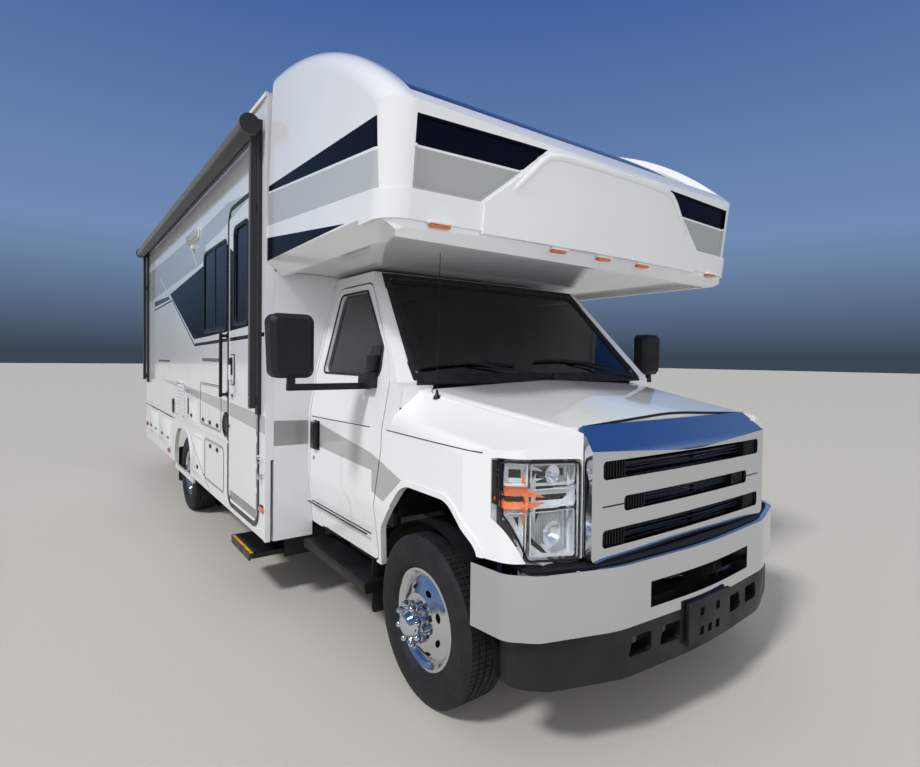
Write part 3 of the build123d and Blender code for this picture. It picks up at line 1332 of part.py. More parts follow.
# Rolled awning along the right wall, with its two folded arms
awning_front = box_front + 104.0
awning_rear = box_rear - 205.0
awning_z = 2925.0
awning_out = 88.0
awning_radius = 52.0
arm_width = 46.0
arm_bottom_z = 1220.0
end_cap_radius = 62.0
end_cap_length = 30.0
with BuildPart() as awning:
    roll_x = -body_half - awning_out
    add(rod((roll_x, awning_front - 20.0, awning_z), (roll_x, awning_rear + 20.0, awning_z), awning_radius))
    # rail that holds the fabric's edge on the wall
    add(block((-body_half - 30.0, -body_half), (awning_front, awning_rear),
              (awning_z + 20.0, awning_z + 60.0)))
    for s in (awning_front - 20.0 - end_cap_length, awning_rear + 20.0):
        add(rod((roll_x, s, awning_z), (roll_x, s + end_cap_length, awning_z), end_cap_radius))
    for s in (awning_front, awning_rear - arm_width):
        add(block((-body_half - 26.0, -body_half), (s, s + arm_width),
                  (arm_bottom_z - 40.0, awning_z + 60.0)))
        add(block((-body_half - 70.0, -body_half - 34.0), (s + 4.0, s + arm_width - 4.0),
                  (arm_bottom_z, awning_z)))
        for z in (arm_bottom_z + 20.0, awning_z - 500.0, awning_z - 60.0):
            add(block((-body_half - 50.0, -body_half - 20.0), (s + 8.0, s + arm_width - 8.0), (z, z + 50.0)))
awning.part.label = "awning"
export_step(awning.part, "parts/awning.step")

# Rear bumper on the rails' ends, and a square receiver tube below it with its pin hole
rear_bumper_half = body_half - 120.0
rear_bumper_top_z = 600.0
receiver_half = 32.0
receiver_bore_half = 25.6
receiver_z = 442.0
receiver_front = box_rear - 260.0
receiver_rear = box_rear + rear_bumper_depth
receiver_pin_radius = 8.0
receiver_pin_station = receiver_rear - 64.0
cross_tube = 50.0
with BuildPart() as rear_bumper:
    add(side_prism(
        ((box_rear + 20.0, bumper_low_z, 8.0), (receiver_rear, bumper_low_z, 30.0),
         (receiver_rear, rear_bumper_top_z, 30.0),
         (box_rear + 20.0, rear_bumper_top_z, 8.0)), -rear_bumper_half, rear_bumper_half))
    for side, name in sides:
        add(block((side * (rail_half - channel_width), side * (rail_half - channel_web)),
                  (frame_rear - 40.0, box_rear + 25.0), (500.0, rail_bottom_z)))
rear_bumper.part.label = "rear_bumper"
export_step(rear_bumper.part, "parts/rear_bumper.step")
with BuildPart() as hitch_receiver:
    tube_heights = (receiver_z - receiver_half, receiver_z + receiver_half)
    add(block((-receiver_half, receiver_half), (receiver_front, receiver_rear), tube_heights))
    add(block((-receiver_bore_half, receiver_bore_half),
              (receiver_front + cross_tube + 10.0, receiver_rear + 5.0),
              (receiver_z - receiver_bore_half, receiver_z + receiver_bore_half)), mode=Mode.SUBTRACT)
    add(block((-rail_half, rail_half), (receiver_front, receiver_front + cross_tube), tube_heights))
    for side, name in sides:
        add(block((side * (rail_half - channel_width), side * rail_half),
                  (receiver_front, receiver_front + cross_tube), (receiver_z, rail_bottom_z)))
    add(rod((-receiver_half - 5.0, receiver_pin_station, receiver_z),
            (receiver_half + 5.0, receiver_pin_station, receiver_z),
            receiver_pin_radius), mode=Mode.SUBTRACT)
hitch_receiver.part.label = "hitch_receiver"
export_step(hitch_receiver.part, "parts/hitch_receiver.step")

lamp_x = (body_half - 250.0, body_half - 90.0)
tail_lamp_z = (900.0, 1250.0)
with BuildPart() as tail_lamps:
    for side, name in sides:
        corners = [(side * x, z) for x, z in (
            (lamp_x[0], tail_lamp_z[0]), (lamp_x[1], tail_lamp_z[0]), (lamp_x[1], tail_lamp_z[1]),
            (lamp_x[0], tail_lamp_z[1]),
        )]
        add(front_prism(corners, box_rear, box_rear + 35.0, 36.0))
tail_lamps.part.label = "tail_lamps"
export_step(tail_lamps.part, "parts/tail_lamps.step")

ladder_x = 700.0
ladder_half = 170.0
ladder_out = 92.0
ladder_tube = 12.0
ladder_bottom_z = 900.0
ladder_top_z = roof_edge_z + roof_crown + 90.0
rung_count = 8
rung_pitch = 280.0
with BuildPart() as ladder:
    for x in (ladder_x - ladder_half, ladder_x + ladder_half):
        add(rod((x, box_rear + ladder_out, ladder_bottom_z), (x, box_rear + ladder_out, ladder_top_z),
                ladder_tube))
        for z in (950.0, 2000.0, roof_edge_z - 20.0):
            add(rod((x, box_rear, z), (x, box_rear + ladder_out, z), ladder_tube - 2.0))
    for rung in range(rung_count):
        z = ladder_bottom_z + 120.0 + rung * rung_pitch
        add(rod((ladder_x - ladder_half, box_rear + ladder_out, z),
                (ladder_x + ladder_half, box_rear + ladder_out, z),
                ladder_tube - 2.0))
ladder.part.label = "ladder"
export_step(ladder.part, "parts/ladder.step")

# Cooling unit and vents on the roof, with flat feet scribed to its crown
cooler_top_z = 3430.0
with BuildPart() as roof_units:
    foot_z = roof_edge_z + roof_crown - 30.0
    add(side_prism(
        ((4200.0, foot_z, 0.0), (5100.0, foot_z, 0.0), (5100.0, foot_z + 170.0, 60.0),
         (4900.0, cooler_top_z, 120.0),
         (4330.0, cooler_top_z, 120.0), (4200.0, foot_z + 150.0, 60.0)), -350.0, 350.0))
    for s in (2600.0, 5900.0):
        add(block((-180.0, 180.0), (s, s + 360.0), (foot_z + 10.0, foot_z + 110.0), 40.0))
    add(roof.part, mode=Mode.SUBTRACT)
roof_units.part.label = "roof_units"
export_step(roof_units.part, "parts/roof_units.step")
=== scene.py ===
# %% [markdown]
# A 7.7 m motorhome is finished here over a solid model that is already exact: the body, doors, wheels and
# joints come in as fixed nodes, and this script adds what a solid model leaves plain, which is tread, trim,
# lamps, seals, latches, stripes, cushions and real finishes. Everything is in metres: X is across, with the
# driver's side at plus, Y runs to the rear, and Z is up from the ground.

# %% Load the solid model as a fixed frame
import math
import bpy
from mathutils import Matrix, Vector
from mathutils.bvhtree import BVHTree


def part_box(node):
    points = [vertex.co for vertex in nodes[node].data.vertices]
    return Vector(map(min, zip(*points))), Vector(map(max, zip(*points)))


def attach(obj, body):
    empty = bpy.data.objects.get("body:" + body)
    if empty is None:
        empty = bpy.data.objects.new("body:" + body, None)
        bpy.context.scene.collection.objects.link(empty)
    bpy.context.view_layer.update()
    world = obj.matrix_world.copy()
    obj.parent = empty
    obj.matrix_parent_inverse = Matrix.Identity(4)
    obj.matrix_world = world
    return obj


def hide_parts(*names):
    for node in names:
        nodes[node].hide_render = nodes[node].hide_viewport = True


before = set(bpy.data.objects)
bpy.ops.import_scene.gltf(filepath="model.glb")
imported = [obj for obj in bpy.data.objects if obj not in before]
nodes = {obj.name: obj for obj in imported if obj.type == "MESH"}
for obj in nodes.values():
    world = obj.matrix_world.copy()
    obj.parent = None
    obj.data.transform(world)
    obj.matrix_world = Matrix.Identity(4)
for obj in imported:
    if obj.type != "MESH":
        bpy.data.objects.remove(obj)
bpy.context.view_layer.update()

# %% [markdown]
# Distances along a vehicle are easiest to read from the front axle, as a chassis drawing gives them. The
# front axle stands 3.035 m in front of the model's middle, so one small function turns such a distance into
# a Y value. The visible side is the passenger side, at negative X.

# %% Places are measured from the front axle
axle_y = -3.035
wheelbase = 4.013
body_half = 1.270
sides = ((-1, "right"), (1, "left"))


def back(station):
    """Y value of a distance behind the front axle."""
    return axle_y + station


print("rear axle at Y", round(back(wheelbase), 3))

# %% [markdown]
# The picture was taken from near the right front corner, with a wide lens held at eye level. The camera could
# be placed by trying, but here its place, turn and focal length come from a least squares fit to about thirty
# points, such as wheel edges and body corners, with the type's wheelbase and width as measure. Its shift moves
# the lens centre a few pixels off the middle.

# %% Camera at eye level
picture_width, picture_height = 920.0, 767.0
focal_px = 554.198
lens_centre_px = (462.058, 370.327)
camera_place = (-2.291, back(-2.081), 1.535)
yaw, pitch, roll = math.radians(36.224), math.radians(-1.107), math.radians(0.684)
ahead = Vector((math.sin(yaw) * math.cos(pitch), math.cos(yaw) * math.cos(pitch), math.sin(pitch)))
across = Vector((math.cos(yaw), -math.sin(yaw), 0.0))
above = across.cross(ahead)
right_edge = across * math.cos(roll) + above * math.sin(roll)
top_edge = above * math.cos(roll) - across * math.sin(roll)
camera_data = bpy.data.cameras.new("eye_level")
camera_data.sensor_width = 36.0
camera_data.lens = focal_px / picture_width * camera_data.sensor_width
camera_data.shift_x = (picture_width / 2 - lens_centre_px[0]) / picture_width
camera_data.shift_y = (lens_centre_px[1] - picture_height / 2) / picture_width
camera = bpy.data.objects.new("eye_level", camera_data)
camera_turn = Matrix((right_edge, top_edge, -ahead)).transposed().to_4x4()
camera.matrix_world = Matrix.Translation(camera_place) @ camera_turn
bpy.context.scene.collection.objects.link(camera)
bpy.context.scene.camera = camera
print("lens mm:", round(camera_data.lens, 2))

# %% [markdown]
# Colours are written as the hex values that a painter would read from a swatch. A shader works in linear
# light, so one function turns them. A second small function adds a node with its settings, constant values
# and wires, which keeps each finish below down to the few lines that matter.

# %% Colour and node helpers
def linear(swatch):
    """Linear colour of an sRGB hex value."""
    parts = [int(swatch[i:i + 2], 16) / 255.0 for i in (1, 3, 5)]
    return [c / 12.92 if c <= 0.04045 else ((c + 0.055) / 1.055) ** 2.4 for c in parts] + [1.0]


def add(tree, kind, values=None, wires=None, **settings):
    """Adds a node with its settings, constant inputs and incoming wires."""
    node = tree.nodes.new("ShaderNode" + kind)
    for setting, value in settings.items():
        setattr(node, setting, value)
    for socket, value in (values or {}).items():
        node.inputs[socket].default_value = value
    for socket, output in (wires or {}).items():
        tree.links.new(output, node.inputs[socket])
    return node


def new_finish(name, swatch, roughness, metallic=0.0, ior=1.5, **more):
    """Starts a finish from its colour and gloss, and gives its material, node tree and shader."""
    finish = bpy.data.materials.new(name)
    finish.use_nodes = True
    tree = finish.node_tree
    shader = tree.nodes["Principled BSDF"]
    shader.inputs["Base Color"].default_value = linear(swatch)
    shader.inputs["Roughness"].default_value = roughness
    shader.inputs["Metallic"].default_value = metallic
    shader.inputs["IOR"].default_value = ior
    for socket, value in more.items():
        shader.inputs[socket.replace("_", " ")].default_value = value
    return finish, tree, shader


print("white swatch in linear light:", round(linear("#e9ebec")[0], 3))

# %% [markdown]
# No real surface is quite even. It has a fine grain that its making leaves, and wide soft patches where it was
# wiped, rubbed or dusted. Image textures could show both, but noise of a real width in millimetres works on
# any piece and needs no file.

# %% Grain, patches and mixed colours
def grain(tree, shader, width_mm, depth_mm, detail=2.0, stretch=(1.0, 1.0, 1.0)):
    """Bumps a surface with grains of a real width and depth, and gives their height from 0 to 1."""
    spot = add(tree, "Mapping", {"Scale": stretch}, {"Vector": add(tree, "TexCoord").outputs["Object"]})
    noise = add(tree, "TexNoise", {"Scale": 1000.0 / width_mm, "Detail": detail},
                {"Vector": spot.outputs[0]})
    bump = add(tree, "Bump", {"Strength": 1.0, "Distance": depth_mm / 1000.0},
               {"Height": noise.outputs["Fac"]})
    tree.links.new(bump.outputs["Normal"], shader.inputs["Normal"])
    return noise.outputs["Fac"]


def blotches(tree, width_mm):
    """Soft patches of a real width, from 0 to 1."""
    noise = add(tree, "TexNoise", {"Scale": 1000.0 / width_mm, "Detail": 3.0},
                {"Vector": add(tree, "TexCoord").outputs["Object"]})
    spread = add(tree, "MapRange", {"From Min": 0.35, "From Max": 0.65}, {"Value": noise.outputs["Fac"]})
    return spread.outputs[0]


def mixed(tree, share, first, second):
    """Colour that turns from the first to the second as the share goes from 0 to 1."""
    values, wires = {}, {0: share}
    for socket, colour in ((6, first), (7, second)):
        if isinstance(colour, str):
            values[socket] = linear(colour)
        else:
            wires[socket] = colour
    return add(tree, "Mix", values, wires, data_type="RGBA").outputs[2]


def coloured(tree, shader, colour):
    """Wires a colour into the shader."""
    tree.links.new(colour, shader.inputs["Base Color"])


def roughened(tree, shader, share, low, high):
    """Roughness that follows a share from 0 to 1."""
    reach = add(tree, "MapRange", {"To Min": low, "To Max": high}, {"Value": share})
    tree.links.new(reach.outputs[0], shader.inputs["Roughness"])


print("grain and patch helpers ready")

# %% [markdown]
# The stripes are vinyl film and two-tone paint whose edges run straight across gaps between the wall, the
# entry door and the hatches. Film could be modelled as thin sheets, but they would have to be cut at every
# gap. Here each outline is a mask in the finish itself: a point is inside a convex outline when it lies on
# the inner side of every edge, so the smallest distance to the edges says it all. The wall, the door and the
# hatches share one finish, and the lines meet by themselves.

# %% Masks from outlines
edge_crispness = 5000.0


def flat_view(tree, plane):
    """Flat view of a surface: 'side' gives (Y, Z, 1), 'front' gives (distance from the middle, Z, 1).

    The distance from the middle and the separate X, Y and Z come with it."""
    apart = add(tree, "SeparateXYZ", wires={0: add(tree, "TexCoord").outputs["Object"]})
    from_middle = add(tree, "Math", wires={0: apart.outputs["X"]}, operation="ABSOLUTE")
    first = apart.outputs["Y"] if plane == "side" else from_middle.outputs[0]
    flat = add(tree, "CombineXYZ", {"Z": 1.0}, {"X": first, "Y": apart.outputs["Z"]})
    return flat.outputs[0], from_middle.outputs[0], apart


def depth_inside(tree, flat, corners):
    """Distance in metres from a point to a convex outline's nearest edge, below zero outside it."""
    middle = sum((Vector(corner) for corner in corners), Vector((0.0, 0.0))) / len(corners)
    lowest = None
    for start, end in zip(corners, corners[1:] + corners[:1]):
        along = Vector(end) - Vector(start)
        inward = Vector((-along.y, along.x)).normalized()
        offset = -inward.dot(Vector(start))
        if inward.dot(middle) + offset < 0:
            inward, offset = -inward, -offset
        edge = add(tree, "VectorMath", {1: (inward.x, inward.y, offset)}, {0: flat},
                   operation="DOT_PRODUCT").outputs["Value"]
        if lowest is None:
            lowest = edge
        else:
            lowest = add(tree, "Math", wires={0: lowest, 1: edge}, operation="MINIMUM").outputs[0]
    return lowest


def filled(tree, depth, inset=0.0):
    """Mask that is 1 where the depth is more than the inset, with a crisp edge."""
    return add(tree, "Math", {1: edge_crispness, 2: 0.5 - edge_crispness * inset}, {0: depth},
               operation="MULTIPLY_ADD", use_clamp=True).outputs[0]


def any_of(tree, flat, outlines):
    """Mask of several convex outlines together."""
    deepest = None
    for corners in outlines:
        depth = depth_inside(tree, flat, corners)
        if deepest is None:
            deepest = depth
        else:
            deepest = add(tree, "Math", wires={0: deepest, 1: depth}, operation="MAXIMUM").outputs[0]
    return filled(tree, deepest)


def both(tree, first, second):
    """Mask that is 1 where two masks are."""
    return add(tree, "Math", wires={0: first, 1: second}, operation="MULTIPLY").outputs[0]


def above_value(tree, value, limit):
    """Mask that is 1 where a value is over a limit."""
    return add(tree, "Math", {1: limit}, {0: value}, operation="GREATER_THAN").outputs[0]


print("mask helpers ready, edges fade over", 1000.0 / edge_crispness, "mm")

# %% [markdown]
# Three more helpers serve the stripes. Outlines are written down with their distance behind the front axle, as
# on a drawing, and a pinstripe is given as a line and a width. Black film also reflects less than the gelcoat
# round it, so its mask takes most of the gloss away.

# %% Stripe outlines and dull film
gelcoat_gloss = 0.6


def on_wall(outlines):
    """Outlines given in distances behind the front axle, turned into Y and Z."""
    return [[(back(s), z) for s, z in corners] for corners in outlines]


def line_band(start, end, width):
    """Four corners of a straight line of a given width."""
    along = (Vector(end) - Vector(start)).normalized()
    across_line = Vector((-along.y, along.x)) * width / 2
    return [tuple(Vector(p) + d) for p, d in ((start, across_line), (end, across_line),
                                             (end, -across_line), (start, -across_line))]


def subdued(tree, shader, mask):
    """Takes most of the gloss away where the mask is 1."""
    for socket, full, low in (("Coat Weight", gelcoat_gloss, 0.0), ("Specular IOR Level", 0.5, 0.06)):
        level = add(tree, "MapRange", {"To Min": full, "To Max": low}, {"Value": mask})
        tree.links.new(level.outputs[0], shader.inputs[socket])


print("pinstripe corners:", len(line_band((0.0, 0.0), (1.0, 0.0), 0.010)))

# %% [markdown]
# The side stripes are film in gloss black and two greys, with thin white and black pinstripes. A mask needs
# convex outlines, so a shape with a hollow corner is written as several that touch. Each pair of numbers is a
# distance behind the front axle and a height.

# %% Film outlines on the side walls
black_film = on_wall([
    [(4.816, 2.219), (3.488, 1.692), (3.048, 1.70), (3.048, 2.315)],
    [(3.048, 1.70), (2.190, 1.722), (2.190, 2.340), (2.407, 2.412), (2.914, 2.414), (3.048, 2.315)],
    [(2.190, 1.722), (1.600, 1.742), (1.600, 2.060), (2.190, 2.330)],
])
pinstripes = on_wall([
    line_band((3.440, 1.640), (1.340, 1.675), 0.026),
    line_band((4.676, 2.140), (3.438, 1.632), 0.016),
    line_band((3.826, 0.866), (2.821, 0.428), 0.010),
    [(5.980, 2.160), (4.820, 2.166), (4.900, 2.206), (5.980, 2.226)],
    line_band((5.980, 2.118), (4.700, 2.142), 0.018),
    line_band((6.820, 0.872), (4.480, 0.872), 0.014),
])
grey_film = on_wall([
    [(6.820, 2.245), (3.100, 2.345), (3.000, 2.440), (3.000, 2.640), (6.820, 2.652)],
    [(3.000, 2.440), (2.498, 2.492), (1.310, 2.536), (1.310, 2.570), (2.247, 2.667), (3.000, 2.640)],
])
white_lines = on_wall([
    line_band((5.538, 2.470), (4.790, 2.180), 0.018),
    line_band((3.640, 2.560), (3.380, 2.350), 0.016),
])
taper_film = on_wall([
    [(5.471, 1.262), (3.930, 1.190), (3.930, 1.261)],
    [(3.930, 1.190), (1.310, 1.066), (1.310, 1.186), (2.479, 1.214), (3.930, 1.261)],
])
dark_marks = on_wall([
    [(5.641, 1.468), (4.807, 1.468), (4.807, 1.492), (5.641, 1.492)],
    [(3.121, 1.494), (2.507, 1.494), (2.507, 1.522), (3.121, 1.522)],
])
wall_film = (
    # outlines and their colour, in the order in which they are laid over each other
    (grey_film, "#b3b6b7"), (white_lines, "#f1f2f3"), (taper_film, "#a9adad"),
    (dark_marks, "#6d7376"), (black_film, "#0c0e12"), (pinstripes, "#101216"),
)
print("wall outlines:", sum(len(outlines) for outlines, _ in wall_film))

# %% [markdown]
# The wall is gelcoat over a laminated panel: a clear, glossy resin skin. It shows as a bright white with a
# faint long ripple that bends reflections, which a wide, very shallow noise gives. The film only shows on the
# outer face, so its masks end 6 mm inside it.

# %% Gelcoat side walls
gelcoat_wall, tree, shader = new_finish("gelcoat_laminate_with_film", "#e6e8ea", 0.16, ior=1.52,
                                        Coat_Weight=gelcoat_gloss, Coat_Roughness=0.06)
grain(tree, shader, 70.0, 0.05, detail=1.0)
flat, from_middle, _ = flat_view(tree, "side")
outside = above_value(tree, from_middle, body_half - 0.006)
colour = mixed(tree, blotches(tree, 900.0), "#e6e8ea", "#dfe2e5")
for outlines, swatch in wall_film:
    colour = mixed(tree, both(tree, any_of(tree, flat, outlines), outside), colour, swatch)
coloured(tree, shader, colour)
subdued(tree, shader, both(tree, any_of(tree, flat, black_film), outside))
print("nodes in the wall's finish:", len(tree.nodes))

# %% [markdown]
# The sleeping cap is one moulding with the same gelcoat. Its two recessed panels on the face are black above
# and grey below, with a white line between them, and a long black wedge with a grey field below it runs back
# along each side.

# %% Gelcoat cap with its face panels
face_half = 1.152
cap_black = [[(0.470, 2.500), (1.150, 2.500), (1.150, 2.386), (0.606, 2.386)]]
cap_grey = [[(0.614, 2.376), (1.150, 2.376), (1.150, 2.214), (0.820, 2.214)]]
cap_wedge = on_wall([[(-0.100, 2.496), (-0.100, 2.374), (1.300, 2.520), (1.300, 2.551)],
                     [(1.300, 2.249), (0.190, 2.124), (1.300, 2.112)]])
cap_field = on_wall([[(-0.100, 2.362), (-0.100, 2.212), (1.300, 2.320), (1.300, 2.508)]])
gelcoat_cap, tree, shader = new_finish("gelcoat_moulding_with_film", "#e9ebed", 0.14, ior=1.52,
                                       Coat_Weight=gelcoat_gloss, Coat_Roughness=0.05)
grain(tree, shader, 90.0, 0.05, detail=1.0)
side_flat, from_middle, parts = flat_view(tree, "side")
face_flat, _, _ = flat_view(tree, "front")
outside = above_value(tree, from_middle, body_half - 0.012)
in_front = add(tree, "Math", {1: back(-0.02)}, {0: parts.outputs["Y"]}, operation="LESS_THAN").outputs[0]
near_middle = add(tree, "Math", {1: 1.0}, {0: above_value(tree, from_middle, face_half)},
                  operation="LESS_THAN").outputs[0]
panel = both(tree, in_front, near_middle)
colour = mixed(tree, blotches(tree, 900.0), "#e9ebed", "#e2e5e8")
for outlines, swatch, flat, where in (
        (cap_field, "#b7babb", side_flat, outside), (cap_wedge, "#0c0f18", side_flat, outside),
        (cap_grey, "#a8abab", face_flat, panel), (cap_black, "#0b0f1c", face_flat, panel)):
    colour = mixed(tree, both(tree, any_of(tree, flat, outlines), where), colour, swatch)
coloured(tree, shader, colour)
face_film = both(tree, any_of(tree, face_flat, cap_black), panel)
side_film = both(tree, any_of(tree, side_flat, cap_wedge), outside)
film = add(tree, "Math", wires={0: face_film, 1: side_film}, operation="MAXIMUM").outputs[0]
subdued(tree, shader, film)
print("nodes in the cap's finish:", len(tree.nodes))

# %% [markdown]
# The rear wall and the wall beside the cab are the same laminate without film, a touch duller because they
# are polished less. A grey band crosses the front one and meets the band on the cab's door.

# %% Plain gelcoat and gelcoat with a grey band
gelcoat_plain, tree, shader = new_finish("gelcoat_plain", "#e6e8ea", 0.18, ior=1.52, Coat_Weight=0.5,
                                         Coat_Roughness=0.08)
grain(tree, shader, 80.0, 0.05, detail=1.0)
coloured(tree, shader, mixed(tree, blotches(tree, 700.0), "#e6e8ea", "#dee1e4"))
gelcoat_band, tree, shader = new_finish("gelcoat_with_grey_band", "#e6e8ea", 0.18, ior=1.52, Coat_Weight=0.5,
                                        Coat_Roughness=0.08)
grain(tree, shader, 80.0, 0.05, detail=1.0)
flat, _, _ = flat_view(tree, "front")
band = any_of(tree, flat, [[(0.985, 0.992), (1.240, 0.996), (1.240, 1.150), (0.985, 1.142)]])
white = mixed(tree, blotches(tree, 700.0), "#e6e8ea", "#dee1e4")
coloured(tree, shader, mixed(tree, band, white, "#8f9392"))
print("plain gelcoat ready")

# %% [markdown]
# The cab is pressed steel with sprayed enamel and a clear coat. Sprayed paint has a very fine skin like
# orange peel, about 2 mm across, and road dust gathers low on the doors. A grey band runs down the door and
# onto the fender.

# %% Sprayed cab paint with its grey band
cab_band = on_wall([
    [(1.262, 1.142), (1.115, 1.140), (0.432, 1.059), (0.429, 0.868), (1.112, 0.999), (1.262, 1.005)],
    [(0.432, 1.059), (0.134, 0.974), (0.309, 0.838), (0.429, 0.868)],
])
cab_paint, tree, shader = new_finish("sprayed_enamel_clear_coated", "#e8eaec", 0.28, ior=1.5, Coat_Weight=1.0,
                                     Coat_Roughness=0.03, Coat_IOR=1.5)
grain(tree, shader, 2.2, 0.006, detail=1.0)
flat, from_middle, parts = flat_view(tree, "side")
outside = above_value(tree, from_middle, 0.93)
dusty = add(tree, "MapRange", {"From Min": 0.95, "From Max": 0.45, "To Max": 0.6},
            {"Value": parts.outputs["Z"]})
colour = mixed(tree, both(tree, dusty.outputs[0], blotches(tree, 160.0)), "#e8eaec", "#d9d8d3")
coloured(tree, shader, mixed(tree, both(tree, any_of(tree, flat, cab_band), outside), colour, "#a7a9a8"))
print("cab paint ready")

# %% [markdown]
# Bright parts are chrome over nickel: nearly mirror-like, with faint wipe marks that make patches a touch
# duller. The wheel covers are polished stainless steel, a little warmer and softer. A metal keeps the
# default index of refraction, and its colour is its reflectance.

# %% Bright metals
chrome, tree, shader = new_finish("chrome_plate", "#d5d8dc", 0.06, metallic=1.0)
grain(tree, shader, 120.0, 0.03, detail=1.0)
roughened(tree, shader, blotches(tree, 45.0), 0.035, 0.11)
stainless, tree, shader = new_finish("polished_stainless", "#cfd1d3", 0.12, metallic=1.0)
grain(tree, shader, 25.0, 0.02, detail=2.0)
roughened(tree, shader, blotches(tree, 20.0), 0.07, 0.2)
# The reflector is part diffuse pale grey instead of all metal: painted reflection of bright light in its
# silvering.
reflector, tree, shader = new_finish("vacuum_aluminised_plastic", "#eceef0", 0.16, metallic=0.7)
grain(tree, shader, 14.0, 0.05, detail=1.0)
roughened(tree, shader, blotches(tree, 10.0), 0.12, 0.24)
mirror_pane, tree, shader = new_finish("silvered_mirror_glass", "#c9ced2", 0.02, metallic=1.0)
roughened(tree, shader, blotches(tree, 60.0), 0.01, 0.04)
mill_metal, tree, shader = new_finish("mill_aluminium_trim", "#c4c7c9", 0.32, metallic=1.0)
grain(tree, shader, 1.6, 0.02, stretch=(1.0, 0.05, 1.0))
roughened(tree, shader, blotches(tree, 60.0), 0.26, 0.42)
print("bright metals: 5")

# %% [markdown]
# Dark parts differ by how they are made. Moulded bumper plastic has a pebble grain near 1 mm across, powder
# coat is smoother with a soft orange peel, and rubber seals are duller. The grains have their real size and
# show only close up. Under the body the steel wears thick wax with dust on it, and the axle and knuckles are
# rough castings with a little rust, so both are mixed from two colours in soft patches.

# %% Dark plastics, coatings, seals and chassis metals
moulded_black, tree, shader = new_finish("pebble_grained_polypropylene", "#1d1e20", 0.5, ior=1.49)
height = grain(tree, shader, 1.1, 0.12)
coloured(tree, shader, mixed(tree, both(tree, height, blotches(tree, 140.0)), "#0f1011", "#1d1e1f"))
roughened(tree, shader, blotches(tree, 180.0), 0.42, 0.62)
smooth_black, tree, shader = new_finish("smooth_acrylonitrile_plastic", "#131416", 0.28, ior=1.53)
grain(tree, shader, 3.0, 0.01)
roughened(tree, shader, blotches(tree, 90.0), 0.22, 0.36)
powder_black, tree, shader = new_finish("powder_coated_metal", "#141517", 0.36, ior=1.5)
grain(tree, shader, 2.5, 0.03)
roughened(tree, shader, blotches(tree, 120.0), 0.3, 0.46)
seal_rubber, tree, shader = new_finish("extruded_seal_rubber", "#141414", 0.62, ior=1.52)
grain(tree, shader, 1.5, 0.04)
roughened(tree, shader, blotches(tree, 60.0), 0.52, 0.74)
chassis_wax, tree, shader = new_finish("waxed_chassis_steel", "#1c1c1d", 0.55, ior=1.47)
height = grain(tree, shader, 9.0, 0.3)
coloured(tree, shader, mixed(tree, blotches(tree, 130.0), "#18191a", "#34322f"))
roughened(tree, shader, height, 0.42, 0.7)
sand_casting, tree, shader = new_finish("sand_cast_iron", "#4b4947", 0.62, metallic=0.6)
height = grain(tree, shader, 2.4, 0.25, detail=4.0)
coloured(tree, shader, mixed(tree, blotches(tree, 80.0), "#4b4947", "#5f4d40"))
print("dark finishes: 6")

# %% [markdown]
# A tyre's rubber is a deep warm black that dust turns grey in patches. Fine rings left by the mould run round
# the sidewall, which noise stretched along the ring can't give on a round form, so the rings are modelled and
# only the skin's fine grain is in the finish.

# %% Tyre rubber
tyre_rubber, tree, shader = new_finish("vulcanised_tyre_rubber", "#1b1b1b", 0.7, ior=1.52)
height = grain(tree, shader, 1.3, 0.08)
coloured(tree, shader, mixed(tree, blotches(tree, 55.0), "#0e0e0e", "#1c1b1a"))
roughened(tree, shader, height, 0.62, 0.82)
print("tyre rubber ready")

# %% [markdown]
# The cab's panes are clear glass with a black ceramic border that hides the glue line. The border could be a
# second sheet, but it is baked into the glass, so a mask of the clear area turns the same finish from opaque
# black to tinted and see-through. The windows of the box body are tinted so dark that they look solid.

# %% Glass
def bordered_glass(name, plane, corners, border, tint):
    """Tinted glass that is clear inside an outline and black round it."""
    finish, tree, shader = new_finish(name, tint, 0.01, ior=1.52, Coat_Weight=0.0)
    flat, _, _ = flat_view(tree, plane)
    clear = filled(tree, depth_inside(tree, flat, corners), border)
    coloured(tree, shader, mixed(tree, clear, "#08090a", tint))
    tree.links.new(clear, shader.inputs["Transmission Weight"])
    roughened(tree, shader, clear, 0.12, 0.01)
    return finish


clear_windshield = [(-0.4, 1.470), (0.846, 1.470), (0.738, 1.985), (-0.4, 1.985)]
# The windshield's grey-green tint is made much darker than the glass is, as painted shade of the cab's inside.
windshield_glass = bordered_glass("laminated_windshield", "front", clear_windshield, 0.0, "#48544f")
[door_outline] = on_wall([[(0.430, 1.452), (0.462, 1.590), (0.800, 1.915), (1.140, 1.915), (1.150, 1.452)]])
door_pane = bordered_glass("tinted_door_glass", "side", door_outline, 0.020, "#56615f")
privacy_glass, tree, shader = new_finish("privacy_tinted_glass", "#0a0c0f", 0.03, ior=1.52,
                                         Specular_IOR_Level=0.15)
grain(tree, shader, 300.0, 0.08, detail=1.0)
coloured(tree, shader, mixed(tree, blotches(tree, 500.0), "#090b0e", "#10141a"))
# The cap's window is dark tinted acrylic; its navy blue and lighter blue patches are painted reflection of the
# sky.
cap_pane, tree, shader = new_finish("dark_acrylic_with_painted_sky_blue", "#070d22", 0.05, ior=1.49, Specular_IOR_Level=0.35)
grain(tree, shader, 260.0, 0.08, detail=1.0)
coloured(tree, shader, mixed(tree, blotches(tree, 600.0), "#060b1d", "#0c1531"))
print("glass finishes: 4")

# %% [markdown]
# Lamp plastics are moulded with patterns that bend the light: upright flutes in the liner, and small prisms
# or cells in the reflectors and coloured lenses. They are too many to model, so each is a bump with painted
# light and shade: the flutes' hollows are painted darker, each cell is painted light in its middle and dark at
# its edges, and the cells are drawn two to three times their real size to show.

# %% Fluted and prismatic lamp plastics
wave_pitch = 0.314


